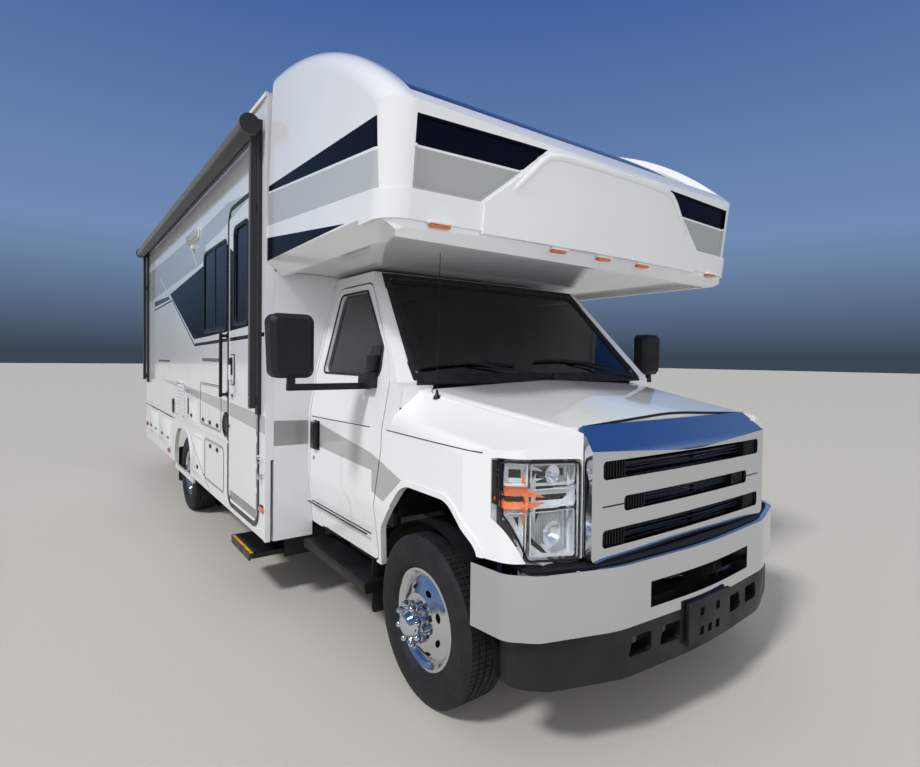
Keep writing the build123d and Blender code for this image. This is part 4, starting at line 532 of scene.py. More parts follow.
def fluted(tree, shader, pitch_mm, low, high, axis):
    """Even flutes of a real pitch along an axis; a wave texture of scale 1 repeats every 0.314 m."""
    waves = add(tree, "TexWave", {"Scale": wave_pitch / (pitch_mm / 1000.0)},
                {"Vector": add(tree, "TexCoord").outputs["Object"]}, bands_direction=axis).outputs["Fac"]
    bump = add(tree, "Bump", {"Distance": 0.002}, {"Height": waves})
    tree.links.new(bump.outputs[0], shader.inputs["Normal"])
    # The hollows are painted darker and the ridges lighter: painted shade and highlight.
    coloured(tree, shader, mixed(tree, waves, low, high))


def prismatic(tree, shader, cell_mm, depth_mm, low, high, randomness=1.0):
    """Moulded cells of a real width and depth."""
    cells = add(tree, "TexVoronoi", {"Scale": 1000.0 / cell_mm, "Randomness": randomness},
                {"Vector": add(tree, "TexCoord").outputs["Object"]}).outputs["Distance"]
    bump = add(tree, "Bump", {"Distance": depth_mm / 1000.0}, {"Height": cells})
    tree.links.new(bump.outputs[0], shader.inputs["Normal"])
    # Each cell is painted light in its middle and dark at its edges: painted glints and shade.
    coloured(tree, shader, mixed(tree, cells, low, high))


# The liner's silvering is mostly diffuse pale grey: painted reflection of bright light.
lamp_liner, tree, shader = new_finish("silvered_lamp_liner", "#ccd1d5", 0.25, metallic=0.2)
fluted(tree, shader, 7.0, "#a9b0b6", "#e3e6e8", "X")
amber_lens, tree, shader = new_finish("amber_reflector_plastic", "#e2661a", 0.12, ior=1.53, Coat_Weight=1.0)
prismatic(tree, shader, 5.0, 1.2, "#f07a22", "#b8430c")
red_lens, tree, shader = new_finish("red_acrylic_lens", "#a5121a", 0.1, ior=1.49, Coat_Weight=1.0)
prismatic(tree, shader, 8.0, 1.5, "#b8161f", "#6d0a10")
# The optic plastic is mostly diffuse pale grey: painted reflection of bright light in its silvered prisms.
optic_plastic, tree, shader = new_finish("prismatic_optic_plastic", "#e4e8eb", 0.14, metallic=0.35)
prismatic(tree, shader, 7.0, 4.0, "#f6f8f9", "#a7aeb4", randomness=0.15)
print("lamp finishes: 4")

# %% [markdown]
# The headlamp's lens is clear polycarbonate. Light hardly finds its way through a refracting sheet in a
# render, which would leave the bowls behind it dark, so shadow rays pass it freely. The white fittings are
# plain moulded plastic with a faint grain.

# %% Clear lens and white plastic
clear_lens, tree, shader = new_finish("clear_polycarbonate_lens", "#f4f6f7", 0.02, ior=1.5,
                                      Transmission_Weight=1.0)
shade = add(tree, "LightPath").outputs["Is Shadow Ray"]
open_air = add(tree, "BsdfTransparent").outputs[0]
open_lens = add(tree, "MixShader", wires={0: shade, 1: shader.outputs[0], 2: open_air})
tree.links.new(open_lens.outputs[0], tree.nodes["Material Output"].inputs["Surface"])
roughened(tree, shader, blotches(tree, 40.0), 0.0, 0.03)
white_plastic, tree, shader = new_finish("white_moulded_plastic", "#e4e5e4", 0.32, ior=1.5)
grain(tree, shader, 2.0, 0.02)
coloured(tree, shader, mixed(tree, blotches(tree, 200.0), "#e6e7e6", "#d8d9d7"))
print("clear lens and white plastic ready")

# %% [markdown]
# Seat cloth and the rolled awning's fabric are drawn with crossing threads, four times coarser than the real
# 0.5 mm so that they show. The dashboard has a grained skin, the roof a matt membrane, the floor a printed
# wood look whose grain is stretched along the vehicle, and the steps ribbed rubber with ribs 12 mm apart.

# %% Cloth, dashboard skin, membrane, floor and step rubber
def woven(name, light, dark, thread_mm, depth_mm):
    """Cloth with two sets of crossing threads and painted shade in the gaps between them."""
    finish, tree, shader = new_finish(name, light, 0.85, Sheen_Weight=0.3, Sheen_Roughness=0.5)
    spot = add(tree, "TexCoord").outputs["Object"]
    waves = [add(tree, "TexWave", {"Scale": wave_pitch / (thread_mm / 1000.0), "Distortion": 0.4},
                 {"Vector": spot}, bands_direction=axis).outputs["Fac"] for axis in ("Y", "Z")]
    weave = add(tree, "Math", wires={0: waves[0], 1: waves[1]}, operation="MAXIMUM").outputs[0]
    tree.links.new(add(tree, "Bump", {"Distance": depth_mm / 1000.0}, {"Height": weave}).outputs[0],
                   shader.inputs["Normal"])
    # The gaps between the threads are painted darker, as their shade.
    coloured(tree, shader, mixed(tree, weave, dark, light))
    return finish


seat_cloth = woven("woven_seat_cloth", "#5a5753", "#3b3936", 2.0, 0.4)
awning_cloth = woven("rolled_awning_fabric", "#26272a", "#101113", 2.4, 0.3)
dash_skin, tree, shader = new_finish("grained_dashboard_skin", "#2b2c2e", 0.6)
coloured(tree, shader, mixed(tree, grain(tree, shader, 1.4, 0.15), "#232426", "#37383a"))
roof_membrane, tree, shader = new_finish("matt_roof_membrane", "#dcdcd8", 0.75, ior=1.48)
coloured(tree, shader, mixed(tree, grain(tree, shader, 12.0, 0.4), "#d3d3ce", "#e2e2de"))
floor_laminate, tree, shader = new_finish("printed_floor_laminate", "#85705a", 0.45)
planks = grain(tree, shader, 30.0, 0.1, stretch=(6.0, 0.5, 6.0))
coloured(tree, shader, mixed(tree, planks, "#6f5c48", "#9a856c"))
grip_tread, tree, shader = new_finish("ribbed_step_rubber", "#1a1b1c", 0.68)
# The grooves between the ribs get painted shade and the ribs painted highlights.
fluted(tree, shader, 12.0, "#121314", "#2a2b2c", "Y")
print("materials:", len(bpy.data.materials))

# %% [markdown]
# Each node of the solid model keeps its exact mesh and gets its finish through its material slots. A table
# from finish to node names shows at a glance what is made of what.

# %% Give every node its finish
finish_of_nodes = (
    (gelcoat_wall, ["house_wall_right", "house_wall_left", "side_skirts", "entry_door", "storage_hatch_right",
                    "storage_hatch_left", "skirt_hatch_right"]),
    (gelcoat_cap, ["front_cap"]),
    (gelcoat_plain, ["rear_wall"]),
    (gelcoat_band, ["front_wall"]),
    (cab_paint, ["cab_frame", "hood", "fender_left", "fender_right", "cab_door_left", "cab_door_right"]),
    (chrome, ["grille", "front_bumper"]),
    (stainless, ["front_wheel_left", "front_wheel_right", "rear_wheels_left", "rear_wheels_right"]),
    (clear_lens, ["headlamps"]),
    (moulded_black, ["front_valance", "running_boards", "cab_floor", "mirror_left", "mirror_right",
                     "underfloor_tanks"]),
    (powder_black, ["radiator_support", "rear_bumper", "hitch_receiver", "ladder", "grab_handle",
                    "step_carrier", "entry_step"]),
    (chassis_wax, ["chassis_frame", "front_axle_beams"]),
    (sand_casting, ["rear_axle", "engine_block", "knuckle_left", "knuckle_right"]),
    (tyre_rubber, ["front_tyre_left", "front_tyre_right", "rear_tyres_left", "rear_tyres_right"]),
    (windshield_glass, ["windshield"]),
    (door_pane, ["cab_door_glass_left", "cab_door_glass_right"]),
    (privacy_glass, ["house_windows", "entry_door_glass"]),
    (cap_pane, ["cap_window"]),
    (red_lens, ["tail_lamps"]),
    (dash_skin, ["dashboard", "steering_wheel"]),
    (seat_cloth, ["cab_seats"]),
    (awning_cloth, ["awning"]),
    (roof_membrane, ["roof"]),
    (floor_laminate, ["house_floor"]),
    (white_plastic, ["roof_units"]),
)
for finish, names in finish_of_nodes:
    for name in names:
        for material_slot in nodes[name].material_slots:
            material_slot.material = finish
print("nodes with a finish:", sum(len(names) for _, names in finish_of_nodes), "of", len(nodes))

# %% [markdown]
# The vehicle stands on a plain, pale, matt floor with a fine stony grain.

# %% Studio floor
bpy.ops.object.select_all(action="DESELECT")
bpy.ops.mesh.primitive_plane_add(size=240.0, location=(0.0, 0.0, 0.0))
floor = bpy.context.object
floor.name = "studio_floor"
floor_paint, tree, shader = new_finish("matt_studio_floor", "#bcb9b2", 0.85)
coloured(tree, shader, mixed(tree, grain(tree, shader, 8.0, 0.6, detail=4.0), "#b3b0a9", "#c6c3bc"))
floor.data.materials.append(floor_paint)
print("floor ready")

# %% [markdown]
# An even, nearly white world lights the object from all sides. What the camera, glossy metal and glass see
# instead is a plain backdrop, from a dark horizon through a lighter band to a deep clear blue, so that white
# paint and chrome stand out from it with no more light on them. Light Path tells the two apart.

# %% World light and backdrop
world_strength = 0.56
world = bpy.data.worlds.new("studio")
bpy.context.scene.world = world
world.use_nodes = True
tree = world.node_tree
tree.nodes.clear()
seen = add(tree, "LightPath")
shown = seen.outputs["Is Camera Ray"]
for ray in ("Is Glossy Ray", "Is Transmission Ray"):
    shown = add(tree, "Math", wires={0: shown, 1: seen.outputs[ray]}, operation="MAXIMUM").outputs[0]
lighting = add(tree, "Background", {"Color": linear("#f2f5f8"), "Strength": world_strength})
height = add(tree, "SeparateXYZ", wires={0: add(tree, "TexCoord").outputs["Generated"]}).outputs["Z"]
low_rise = add(tree, "MapRange", {"From Min": 0.01, "From Max": 0.20}, {"Value": height}).outputs[0]
high_rise = add(tree, "MapRange", {"From Min": 0.15, "From Max": 0.60}, {"Value": height}).outputs[0]
sky = mixed(tree, high_rise, mixed(tree, low_rise, "#3b4654", "#7590b6"), "#34599a")
backdrop = add(tree, "Background", {"Strength": 1.0}, {"Color": sky})
blend = add(tree, "MixShader", wires={0: shown, 1: lighting.outputs[0], 2: backdrop.outputs[0]})
add(tree, "OutputWorld", wires={"Surface": blend.outputs[0]})
print("world strength:", world_strength)

# %% [markdown]
# A soft sun stands high on the right, slightly in front, as on the day of the picture. A wide panel far in
# front stands for light thrown back from pale ground, and it is hidden from glossy rays, because its own
# mirror image in the chrome would give it away. The Standard view shows a colour about as it is written.

# %% Sun, front panel and view
sun_direction = (-0.74, -0.16, 0.85)
panel_place, panel_target = Vector((-2.5, -11.0, 3.2)), Vector((0.0, -3.0, 1.4))
sun_data = bpy.data.lights.new("soft_sun", "SUN")
sun_data.energy = 2.15
sun_data.angle = math.radians(9.0)
sun = bpy.data.objects.new("soft_sun", sun_data)
sun.rotation_euler = Vector(sun_direction).to_track_quat("Z", "Y").to_euler()
bpy.context.scene.collection.objects.link(sun)
panel_data = bpy.data.lights.new("front_panel", "AREA")
panel_data.shape = "RECTANGLE"
panel_data.size, panel_data.size_y, panel_data.energy = 9.0, 3.5, 210.0
front_panel = bpy.data.objects.new("front_panel", panel_data)
front_panel.location = panel_place
front_panel.rotation_euler = (panel_place - panel_target).to_track_quat("Z", "Y").to_euler()
front_panel.visible_glossy = False
bpy.context.scene.collection.objects.link(front_panel)
bpy.context.scene.view_settings.view_transform = "Standard"
print("sun W/m2:", sun_data.energy, "panel W:", panel_data.energy)

# %% [markdown]
# Every added piece starts as a primitive and is shaped in edit mode, as by hand. A few helpers keep that
# short. They select a piece alone, open it for editing, apply a modifier, join pieces or copy one. One settles
# a finished piece: it puts its place into its mesh, smooths it up to a given angle, gives it its finish and
# lets it ride on a body.

# %% Select, edit and settle a piece
def alone(piece):
    """Selects one piece and nothing else."""
    bpy.ops.object.select_all(action="DESELECT")
    piece.select_set(True)
    bpy.context.view_layer.objects.active = piece
    return piece


def edit(piece):
    """Opens a piece in edit mode with all of it selected."""
    alone(piece)
    bpy.ops.object.mode_set(mode="EDIT")
    bpy.ops.mesh.select_all(action="SELECT")


def done():
    bpy.ops.object.mode_set(mode="OBJECT")


def applied(piece, kind, **settings):
    """Adds a modifier with its settings and applies it."""
    modifier = piece.modifiers.new(kind.lower(), kind)
    for setting, value in settings.items():
        setattr(modifier, setting, value)
    alone(piece)
    bpy.ops.object.modifier_apply(modifier=modifier.name)


def settle(piece, name, finish, body="vehicle", angle=35.0):
    """Finishes a piece: place in the mesh, smooth shading, name, finish and the body it rides on."""
    alone(piece)
    bpy.ops.object.transform_apply(location=True, rotation=True, scale=True)
    bpy.ops.object.shade_smooth_by_angle(angle=math.radians(angle))
    piece.name = piece.data.name = name
    piece.data.materials.clear()
    piece.data.materials.append(finish)
    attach(piece, body)
    return piece


def merged(pieces):
    """Joins pieces into one."""
    bpy.ops.object.select_all(action="DESELECT")
    for piece in pieces:
        piece.select_set(True)
    bpy.context.view_layer.objects.active = pieces[0]
    bpy.ops.object.join()
    return bpy.context.object


def copy_of(piece, matrix):
    """Copies a piece with its own mesh to another place."""
    twin = bpy.data.objects.new(piece.name, piece.data.copy())
    bpy.context.scene.collection.objects.link(twin)
    twin.data.transform(matrix)
    return twin


print("helpers ready")

# %% [markdown]
# Most trim is a flat outline with some thickness, or a frame. Its corners are written as an outline in the
# plane it lies in, rounded by a small piece of geometry, and one face is laid on them.

# %% Outlines
def rounded(corners, radius, steps=5):
    """Outline with its corners rounded to a radius, as points around it."""
    points = []
    for before, corner, after in zip(corners[-1:] + corners[:-1], corners, corners[1:] + corners[:1]):
        corner = Vector(corner)
        one, two = (Vector(before) - corner).normalized(), (Vector(after) - corner).normalized()
        half = one.angle(two) / 2
        reach = radius / math.tan(half)
        middle = corner + (one + two).normalized() * radius / math.sin(half)
        start, end = corner + one * reach - middle, corner + two * reach - middle
        for i in range(steps + 1):
            points.append(tuple(middle + start.lerp(end, i / steps).normalized() * radius))
    return points


def in_plane(points, plane, value):
    """Turns pairs into places on a plane that is square to an axis."""
    if plane == "X":
        return [(value, a, b) for a, b in points]
    if plane == "Y":
        return [(a, value, b) for a, b in points]
    return [(a, b, value) for a, b in points]


def rect(a_low, a_high, b_low, b_high):
    """Corners of an upright rectangle."""
    return [(a_low, b_low), (a_high, b_low), (a_high, b_high), (a_low, b_high)]


def wall_rect(front, rear, low_z, high_z):
    """Rectangle on a side wall, between two distances behind the front axle."""
    return rect(back(front), back(rear), low_z, high_z)


def outline_face(points):
    """Starts a piece as one face with its corners at given places."""
    bpy.ops.object.select_all(action="DESELECT")
    bpy.ops.mesh.primitive_circle_add(vertices=len(points), fill_type="NGON")
    piece = bpy.context.object
    for vertex, point in zip(piece.data.vertices, points):
        vertex.co = point
    return piece


print("points on a rounded square:", len(rounded(rect(0.0, 1.0, 0.0, 1.0), 0.1)))

# %% [markdown]
# Extruding such a face gives a plate. Insetting it and deleting its middle first gives a frame. A block is a
# cube whose edges are bevelled. All three get a small bevel, since no real edge is quite sharp, and it is the
# bevel that catches the light.

# %% Plates, frames and blocks
def thicken(piece, way, edge):
    """Extrudes a flat piece in edit mode and softens its sharp edges."""
    bpy.ops.mesh.select_all(action="SELECT")
    bpy.ops.mesh.extrude_region_move(TRANSFORM_OT_translate={"value": way})
    bpy.ops.mesh.select_all(action="SELECT")
    bpy.ops.mesh.normals_make_consistent(inside=False)
    if edge:
        bpy.ops.mesh.select_all(action="DESELECT")
        bpy.ops.mesh.edges_select_sharp(sharpness=math.radians(50.0))
        bpy.ops.mesh.bevel(offset=edge, segments=2)
    done()
    return piece


def plate(corners, plane, low, high, radius=0.0, edge=0.0012):
    """Flat plate with rounded corners and soft edges."""
    piece = outline_face(in_plane(rounded(corners, radius) if radius else corners, plane, low))
    edit(piece)
    return thicken(piece, in_plane([(0.0, 0.0)], plane, high - low)[0], edge)


def frame_of(corners, plane, low, high, width, radius, edge=0.0012):
    """Flat frame of a given width inside an outline."""
    piece = outline_face(in_plane(rounded(corners, radius), plane, low))
    edit(piece)
    bpy.ops.mesh.inset(thickness=width)
    bpy.ops.mesh.delete(type="FACE")
    return thicken(piece, in_plane([(0.0, 0.0)], plane, high - low)[0], edge)


def soft_box(low, high, radius=0.004, segments=3):
    """Moulded block between two corners, with rounded edges."""
    bpy.ops.object.select_all(action="DESELECT")
    bpy.ops.mesh.primitive_cube_add(size=1.0, location=[(a + b) / 2 for a, b in zip(low, high)],
                                    scale=[abs(b - a) for a, b in zip(low, high)])
    piece = bpy.context.object
    bpy.ops.object.transform_apply(location=True, rotation=True, scale=True)
    edit(piece)
    bpy.ops.mesh.bevel(offset=radius, segments=segments)
    done()
    return piece


print("plate, frame and block helpers ready")

# %% [markdown]
# Round pieces, such as tyres, nuts and bowls, are turned: a half section is laid beside the axis and spun
# once round. Seals, wipers and wires are tubes along a line, made as a curve with a round bevel and then
# turned into a mesh.

# %% Turned pieces and tubes
def turned(section, centre, axis, steps=32):
    """Spins a closed section of (along the axis, radius) pairs round an axis through a centre."""
    along = Vector([float(axis == letter) for letter in "XYZ"])
    outwards = Vector((1, 0, 0)) if axis == "Z" else Vector((0, 0, 1))
    bpy.ops.object.select_all(action="DESELECT")
    bpy.ops.mesh.primitive_circle_add(vertices=len(section), fill_type="NOTHING")
    piece = bpy.context.object
    for vertex, (reach, radius) in zip(piece.data.vertices, section):
        vertex.co = Vector(centre) + along * reach + outwards * radius
    edit(piece)
    bpy.ops.mesh.spin(steps=steps, angle=2 * math.pi, center=centre, axis=along)
    bpy.ops.mesh.select_all(action="SELECT")
    bpy.ops.mesh.remove_doubles(threshold=0.00005)
    bpy.ops.mesh.delete_loose()
    bpy.ops.mesh.select_all(action="SELECT")
    bpy.ops.mesh.normals_make_consistent(inside=False)
    done()
    return piece


def tube(points, radius, closed=False, roundness=2):
    """Round rod along a line of places."""
    line = bpy.data.curves.new("tube", "CURVE")
    line.dimensions = "3D"
    line.bevel_depth, line.bevel_resolution, line.use_fill_caps = radius, roundness, True
    run = line.splines.new("POLY")
    run.points.add(len(points) - 1)
    for spot, point in zip(run.points, points):
        spot.co = (*point, 1.0)
    run.use_cyclic_u = closed
    piece = bpy.data.objects.new("tube", line)
    bpy.context.scene.collection.objects.link(piece)
    alone(piece)
    bpy.ops.object.convert(target="MESH")
    return bpy.context.object


print("turning and tube helpers ready")

# %% [markdown]
# Trim has to lie on the body's curved skin. Its places could be read off by eye, but a ray sent at the solid
# model finds them exactly, and it finds them again when the model changes.

# %% Places on the solid model's skin
ray_start_y, ray_start_x, ray_start_top = -6.0, 3.0, 4.5
skins = {}


def first_hit(name, start, way):
    """Place where a line from a start first meets a node, or None."""
    if name not in skins:
        mesh = nodes[name].data
        skins[name] = BVHTree.FromPolygons([vertex.co for vertex in mesh.vertices],
                                           [tuple(face.vertices) for face in mesh.polygons])
    return skins[name].ray_cast(Vector(start), Vector(way))[0]


def skin(name, start, way):
    """Place where a line meets a node that has to be there."""
    place = first_hit(name, start, way)
    if place is None:
        raise ValueError(f"{name} isn't met from {start}")
    return place


def on_front(name, x, z, lift=0.0):
    """Place on a node's front skin, lifted off it."""
    return skin(name, (x, ray_start_y, z), (0, 1, 0)) - Vector((0, lift, 0))


def on_side(name, station, z, lift=0.0, side=-1):
    """Place on a node's outer side skin, lifted off it."""
    return skin(name, (side * ray_start_x, back(station), z), (-side, 0, 0)) + Vector((side * lift, 0, 0))


def along_edges(corners, gap=0.03):
    """Points along a closed outline at a small spacing."""
    points = []
    for start, end in zip(corners, corners[1:] + corners[:1]):
        count = max(1, round((Vector(end) - Vector(start)).length / gap))
        points += [tuple(Vector(start).lerp(Vector(end), i / count)) for i in range(count)]
    return points


print("lamp skin at Y", round(on_front("headlamps", -0.8, 1.0).y, 3))

# %% [markdown]
# The tyre carries the look of the wheel, so the plain solid is replaced. A section with a bulging sidewall,
# two moulded rings and a tread band is spun in 96 steps. The faces of the tread's five ribs are then inset
# one by one and raised, which leaves a net of grooves between blocks of 24 mm, as on an all-season tyre.

# %% Tyre section
tyre_radius, tyre_half = 0.3715, 0.1110
groove_radius = tyre_radius - 0.0085
tread_crown = 0.22
half_section = [(0.0855, 0.2245), (0.0960, 0.2330), (0.1030, 0.2460), (0.1050, 0.2490), (0.1062, 0.2560),
                (0.1078, 0.2600), (0.1106, 0.2850), (tyre_half, 0.3000), (0.1096, 0.3140), (0.1102, 0.3180),
                (0.1082, 0.3220), (0.1050, 0.3400), (0.0990, 0.3530), (0.0920, 0.3608)]
rib_edges = [0.0905, 0.0550, 0.0490, 0.0210, 0.0150, -0.0150, -0.0210, -0.0490, -0.0550, -0.0905]
tread_line = [(u, groove_radius + 0.002 - tread_crown * u * u) for u in rib_edges]
inner_line = [(-0.0880, 0.3300), (-0.0820, 0.2500), (-0.0790, 0.2245)]
tyre_section = (half_section + tread_line + [(-u, r) for u, r in reversed(half_section)]
                + [(u, r) for u, r in reversed(inner_line)] + [(-u, r) for u, r in inner_line])
pattern_tyre = turned(tyre_section, (0.0, 0.0, 0.0), "X", steps=96)
print("points on the tyre's section:", len(tyre_section))

# %% [markdown]
# Only the faces of the ribs may rise. They are found by their place: far from the axle, between the shoulders
# and wider than a groove. One tyre is shaped and then copied to the six wheels, and each copy takes the place
# of the plain one.

# %% Raised tread blocks and six tyres
edit(pattern_tyre)
bpy.ops.mesh.select_mode(type="FACE")
bpy.ops.mesh.select_all(action="DESELECT")
done()
for face in pattern_tyre.data.polygons:
    reach = math.hypot(face.center.y, face.center.z)
    across_face = [pattern_tyre.data.vertices[v].co.x for v in face.vertices]
    between_shoulders = max(abs(x) for x in across_face) < rib_edges[0] + 0.0005
    width = max(across_face) - min(across_face)
    face.select = reach > groove_radius - 0.002 and between_shoulders and width > 0.02
raised = sum(face.select for face in pattern_tyre.data.polygons)
bpy.ops.object.mode_set(mode="EDIT")
bpy.ops.mesh.inset(thickness=0.0016, depth=0.0063, use_individual=True)
bpy.ops.mesh.select_mode(type="VERT")
done()
tyre_places = {"front_tyre_right": (-0.881,), "front_tyre_left": (0.881,),
               "rear_tyres_right": (-0.8615, -1.1185), "rear_tyres_left": (0.8615, 1.1185)}
for node_name, middles in tyre_places.items():
    axle = axle_y if node_name.startswith("front") else back(wheelbase)
    made = [copy_of(pattern_tyre, Matrix.Translation((x, axle, tyre_radius))) for x in middles]
    tyre = merged(made) if len(made) > 1 else made[0]
    wheel_body = node_name.replace("tyres", "wheels").replace("tyre", "wheel")
    settle(tyre, node_name.replace("tyre", "treaded_tyre"), tyre_rubber, wheel_body, angle=28.0)
    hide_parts(node_name)
bpy.data.objects.remove(pattern_tyre)
print("tread blocks on a tyre:", raised)

# %% [markdown]
# Eight wheel nuts stand on the hub, each under a long polished cap, around a bright hub cap with a stepped
# rim. A nut cap is turned from its half section, since its flats would not show at this size, and stands
# eight times round the axle. The twin wheels behind get the same caps on their deep dish.

# %% Nut caps and hub caps
nut_count, nut_circle = 8, 0.0825
nut_section = [(0.0, 0.0), (0.0, 0.0175), (0.005, 0.0175), (0.007, 0.0150), (0.020, 0.0140),
               (0.027, 0.0120), (0.032, 0.0075), (0.034, 0.0)]
cap_section = [(0.0, 0.0), (0.0, 0.064), (0.008, 0.064), (0.011, 0.058), (0.020, 0.055), (0.024, 0.050),
               (0.034, 0.046), (0.041, 0.040), (0.045, 0.028), (0.047, 0.0)]
for side, name in sides:
    for wheel_node, axle in ((f"front_wheel_{name}", axle_y), (f"rear_wheels_{name}", back(wheelbase))):
        face_x = skin(wheel_node, (side * 1.6, axle + nut_circle, tyre_radius), (-side, 0, 0)).x
        on_hub = (Matrix.Translation((face_x - side * 0.002, axle, tyre_radius))
                  @ Matrix.Scale(side, 4, (1, 0, 0)))
        caps = []
        for i in range(nut_count):
            turn = Matrix.Rotation(math.radians(22.5 + 45.0 * i), 4, "X")
            nut = turned(nut_section, (0.0, 0.0, nut_circle), "X", steps=12)
            nut.data.transform(on_hub @ turn)
            caps.append(nut)
        hub = turned(cap_section, (0.0, 0.0, 0.0), "X", steps=40)
        hub.data.transform(on_hub)
        caps.append(hub)
        bright = merged(caps)
        if side < 0:
            bright.data.flip_normals()
        settle(bright, f"hub_and_nut_caps_{wheel_node}", chrome, wheel_node, angle=40.0)
print("nut caps per wheel:", nut_count)

# %% [markdown]
# Some trim lies on curved panels, such as the black border round the windshield. A small grid is laid out
# between four corners, each of its points is moved onto the panel by a ray, and Solidify gives the sheet its
# thickness. The grid follows the panel however it bends, which a flat plate would not.

# %% Sheets that follow a panel
def draped(corners, across_count, up_count, land, thickness):
    """Sheet between four corners whose points are placed by a function of two values."""
    bpy.ops.object.select_all(action="DESELECT")
    bpy.ops.mesh.primitive_grid_add(x_subdivisions=across_count, y_subdivisions=up_count, size=2.0)
    sheet = bpy.context.object
    one, two, three, four = [Vector(c) for c in corners]
    for vertex in sheet.data.vertices:
        u, v = (vertex.co.x + 1) / 2, (vertex.co.y + 1) / 2
        spot = one.lerp(two, u).lerp(four.lerp(three, u), v)
        vertex.co = land(spot.x, spot.y)
    applied(sheet, "SOLIDIFY", thickness=thickness, offset=0.0)
    edit(sheet)
    bpy.ops.mesh.normals_make_consistent(inside=False)
    done()
    return sheet


print("sheet helper ready")

# %% [markdown]
# The headlamp is one clear lens over a housing with three rows: a bowl with its bulb above, an amber turn
# lamp and a strip of prisms in the middle, and a fluted bowl below. The solid model has the whole lamp as a
# block, so its front skin is copied and made 3 mm thick as the lens, which then takes the block's place.

# %% Headlamp lenses from the solid lamp's front skin
def front_shell(node_name, thickness, keep):
    """Copies a node's faces that pass a test and gives them a thickness."""
    shell = bpy.data.objects.new(node_name + "_skin", nodes[node_name].data.copy())
    bpy.context.scene.collection.objects.link(shell)
    edit(shell)
    bpy.ops.mesh.remove_doubles(threshold=0.00002)
    bpy.ops.mesh.select_mode(type="FACE")
    bpy.ops.mesh.select_all(action="DESELECT")
    done()
    for face in shell.data.polygons:
        face.select = not keep(face)
    bpy.ops.object.mode_set(mode="EDIT")
    bpy.ops.mesh.delete(type="FACE")
    bpy.ops.mesh.select_mode(type="VERT")
    done()
    applied(shell, "SOLIDIFY", thickness=thickness, offset=-1.0)
    return shell


lens = front_shell("headlamps", 0.003, lambda face: face.normal.y < -0.15 and abs(face.normal.z) < 0.8)
settle(lens, "headlamp_lenses", clear_lens, angle=25.0)
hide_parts("headlamps")
print("lens faces:", len(lens.data.polygons))

# %% [markdown]
# Behind the lens stand moulded trays. A pattern on the glass would look flat, because a lamp looks deep only
# when something really is behind its glass, so each tray's mouth follows the lamp's skin at a fixed depth, and
# its walls slope back from a thin rim.

# %% Lamp trays
tray_behind, tray_rim, tray_taper = 0.014, 0.004, 0.022


def tray(corners, side, depth, finish, name):
    """Moulded tray whose mouth follows the lamp's skin, with a rim and sloping walls."""
    mouth = [on_front("headlamps", side * x, z, -tray_behind)
             for x, z in along_edges(rounded(corners, 0.008, 2), 0.05)]
    if side < 0:
        mouth.reverse()
    piece = outline_face(mouth)
    if piece.data.polygons[0].normal.y > 0:
        piece.data.flip_normals()
    edit(piece)
    bpy.ops.mesh.inset(thickness=tray_rim)
    bpy.ops.mesh.inset(thickness=tray_taper * 0.35, depth=-depth * 0.7)
    bpy.ops.mesh.inset(thickness=tray_taper * 0.65, depth=-depth * 0.3)
    done()
    applied(piece, "SOLIDIFY", thickness=0.0015, offset=-1.0)
    return settle(piece, name, finish, angle=45.0)


lamp_trays = (
    # name, corners, depth, finish
    ("upper", [(0.684, 1.062), (0.862, 1.064), (0.862, 1.146), (0.684, 1.143)], 0.050, lamp_liner),
    ("upper_outer", [(0.872, 1.064), (0.946, 1.066), (0.944, 1.152), (0.872, 1.147)], 0.030, optic_plastic),
    ("middle", [(0.684, 0.978), (0.858, 0.978), (0.858, 1.052), (0.684, 1.052)], 0.018, optic_plastic),
    ("turn", [(0.868, 0.978), (0.950, 0.980), (0.950, 1.054), (0.868, 1.052)], 0.006, amber_lens),
    ("lower", [(0.684, 0.786), (0.862, 0.796), (0.862, 0.966), (0.684, 0.966)], 0.055, lamp_liner),
    ("lower_outer", [(0.872, 0.800), (0.884, 0.806), (0.944, 0.964), (0.872, 0.966)], 0.030, optic_plastic),
)
for side, name in sides:
    for title, corners, depth, finish in lamp_trays:
        tray(corners, side, depth, finish, f"lamp_{title}_{name}")
print("lamp trays:", 2 * len(lamp_trays))

# %% [markdown]
# The two bowls and their bulbs are turned and stand 52 mm behind the lens. A black seal runs round the lens, a
# narrow bezel closes its side towards the fender, and a dark housing behind the trays keeps one from seeing
# through the lamp into the body.

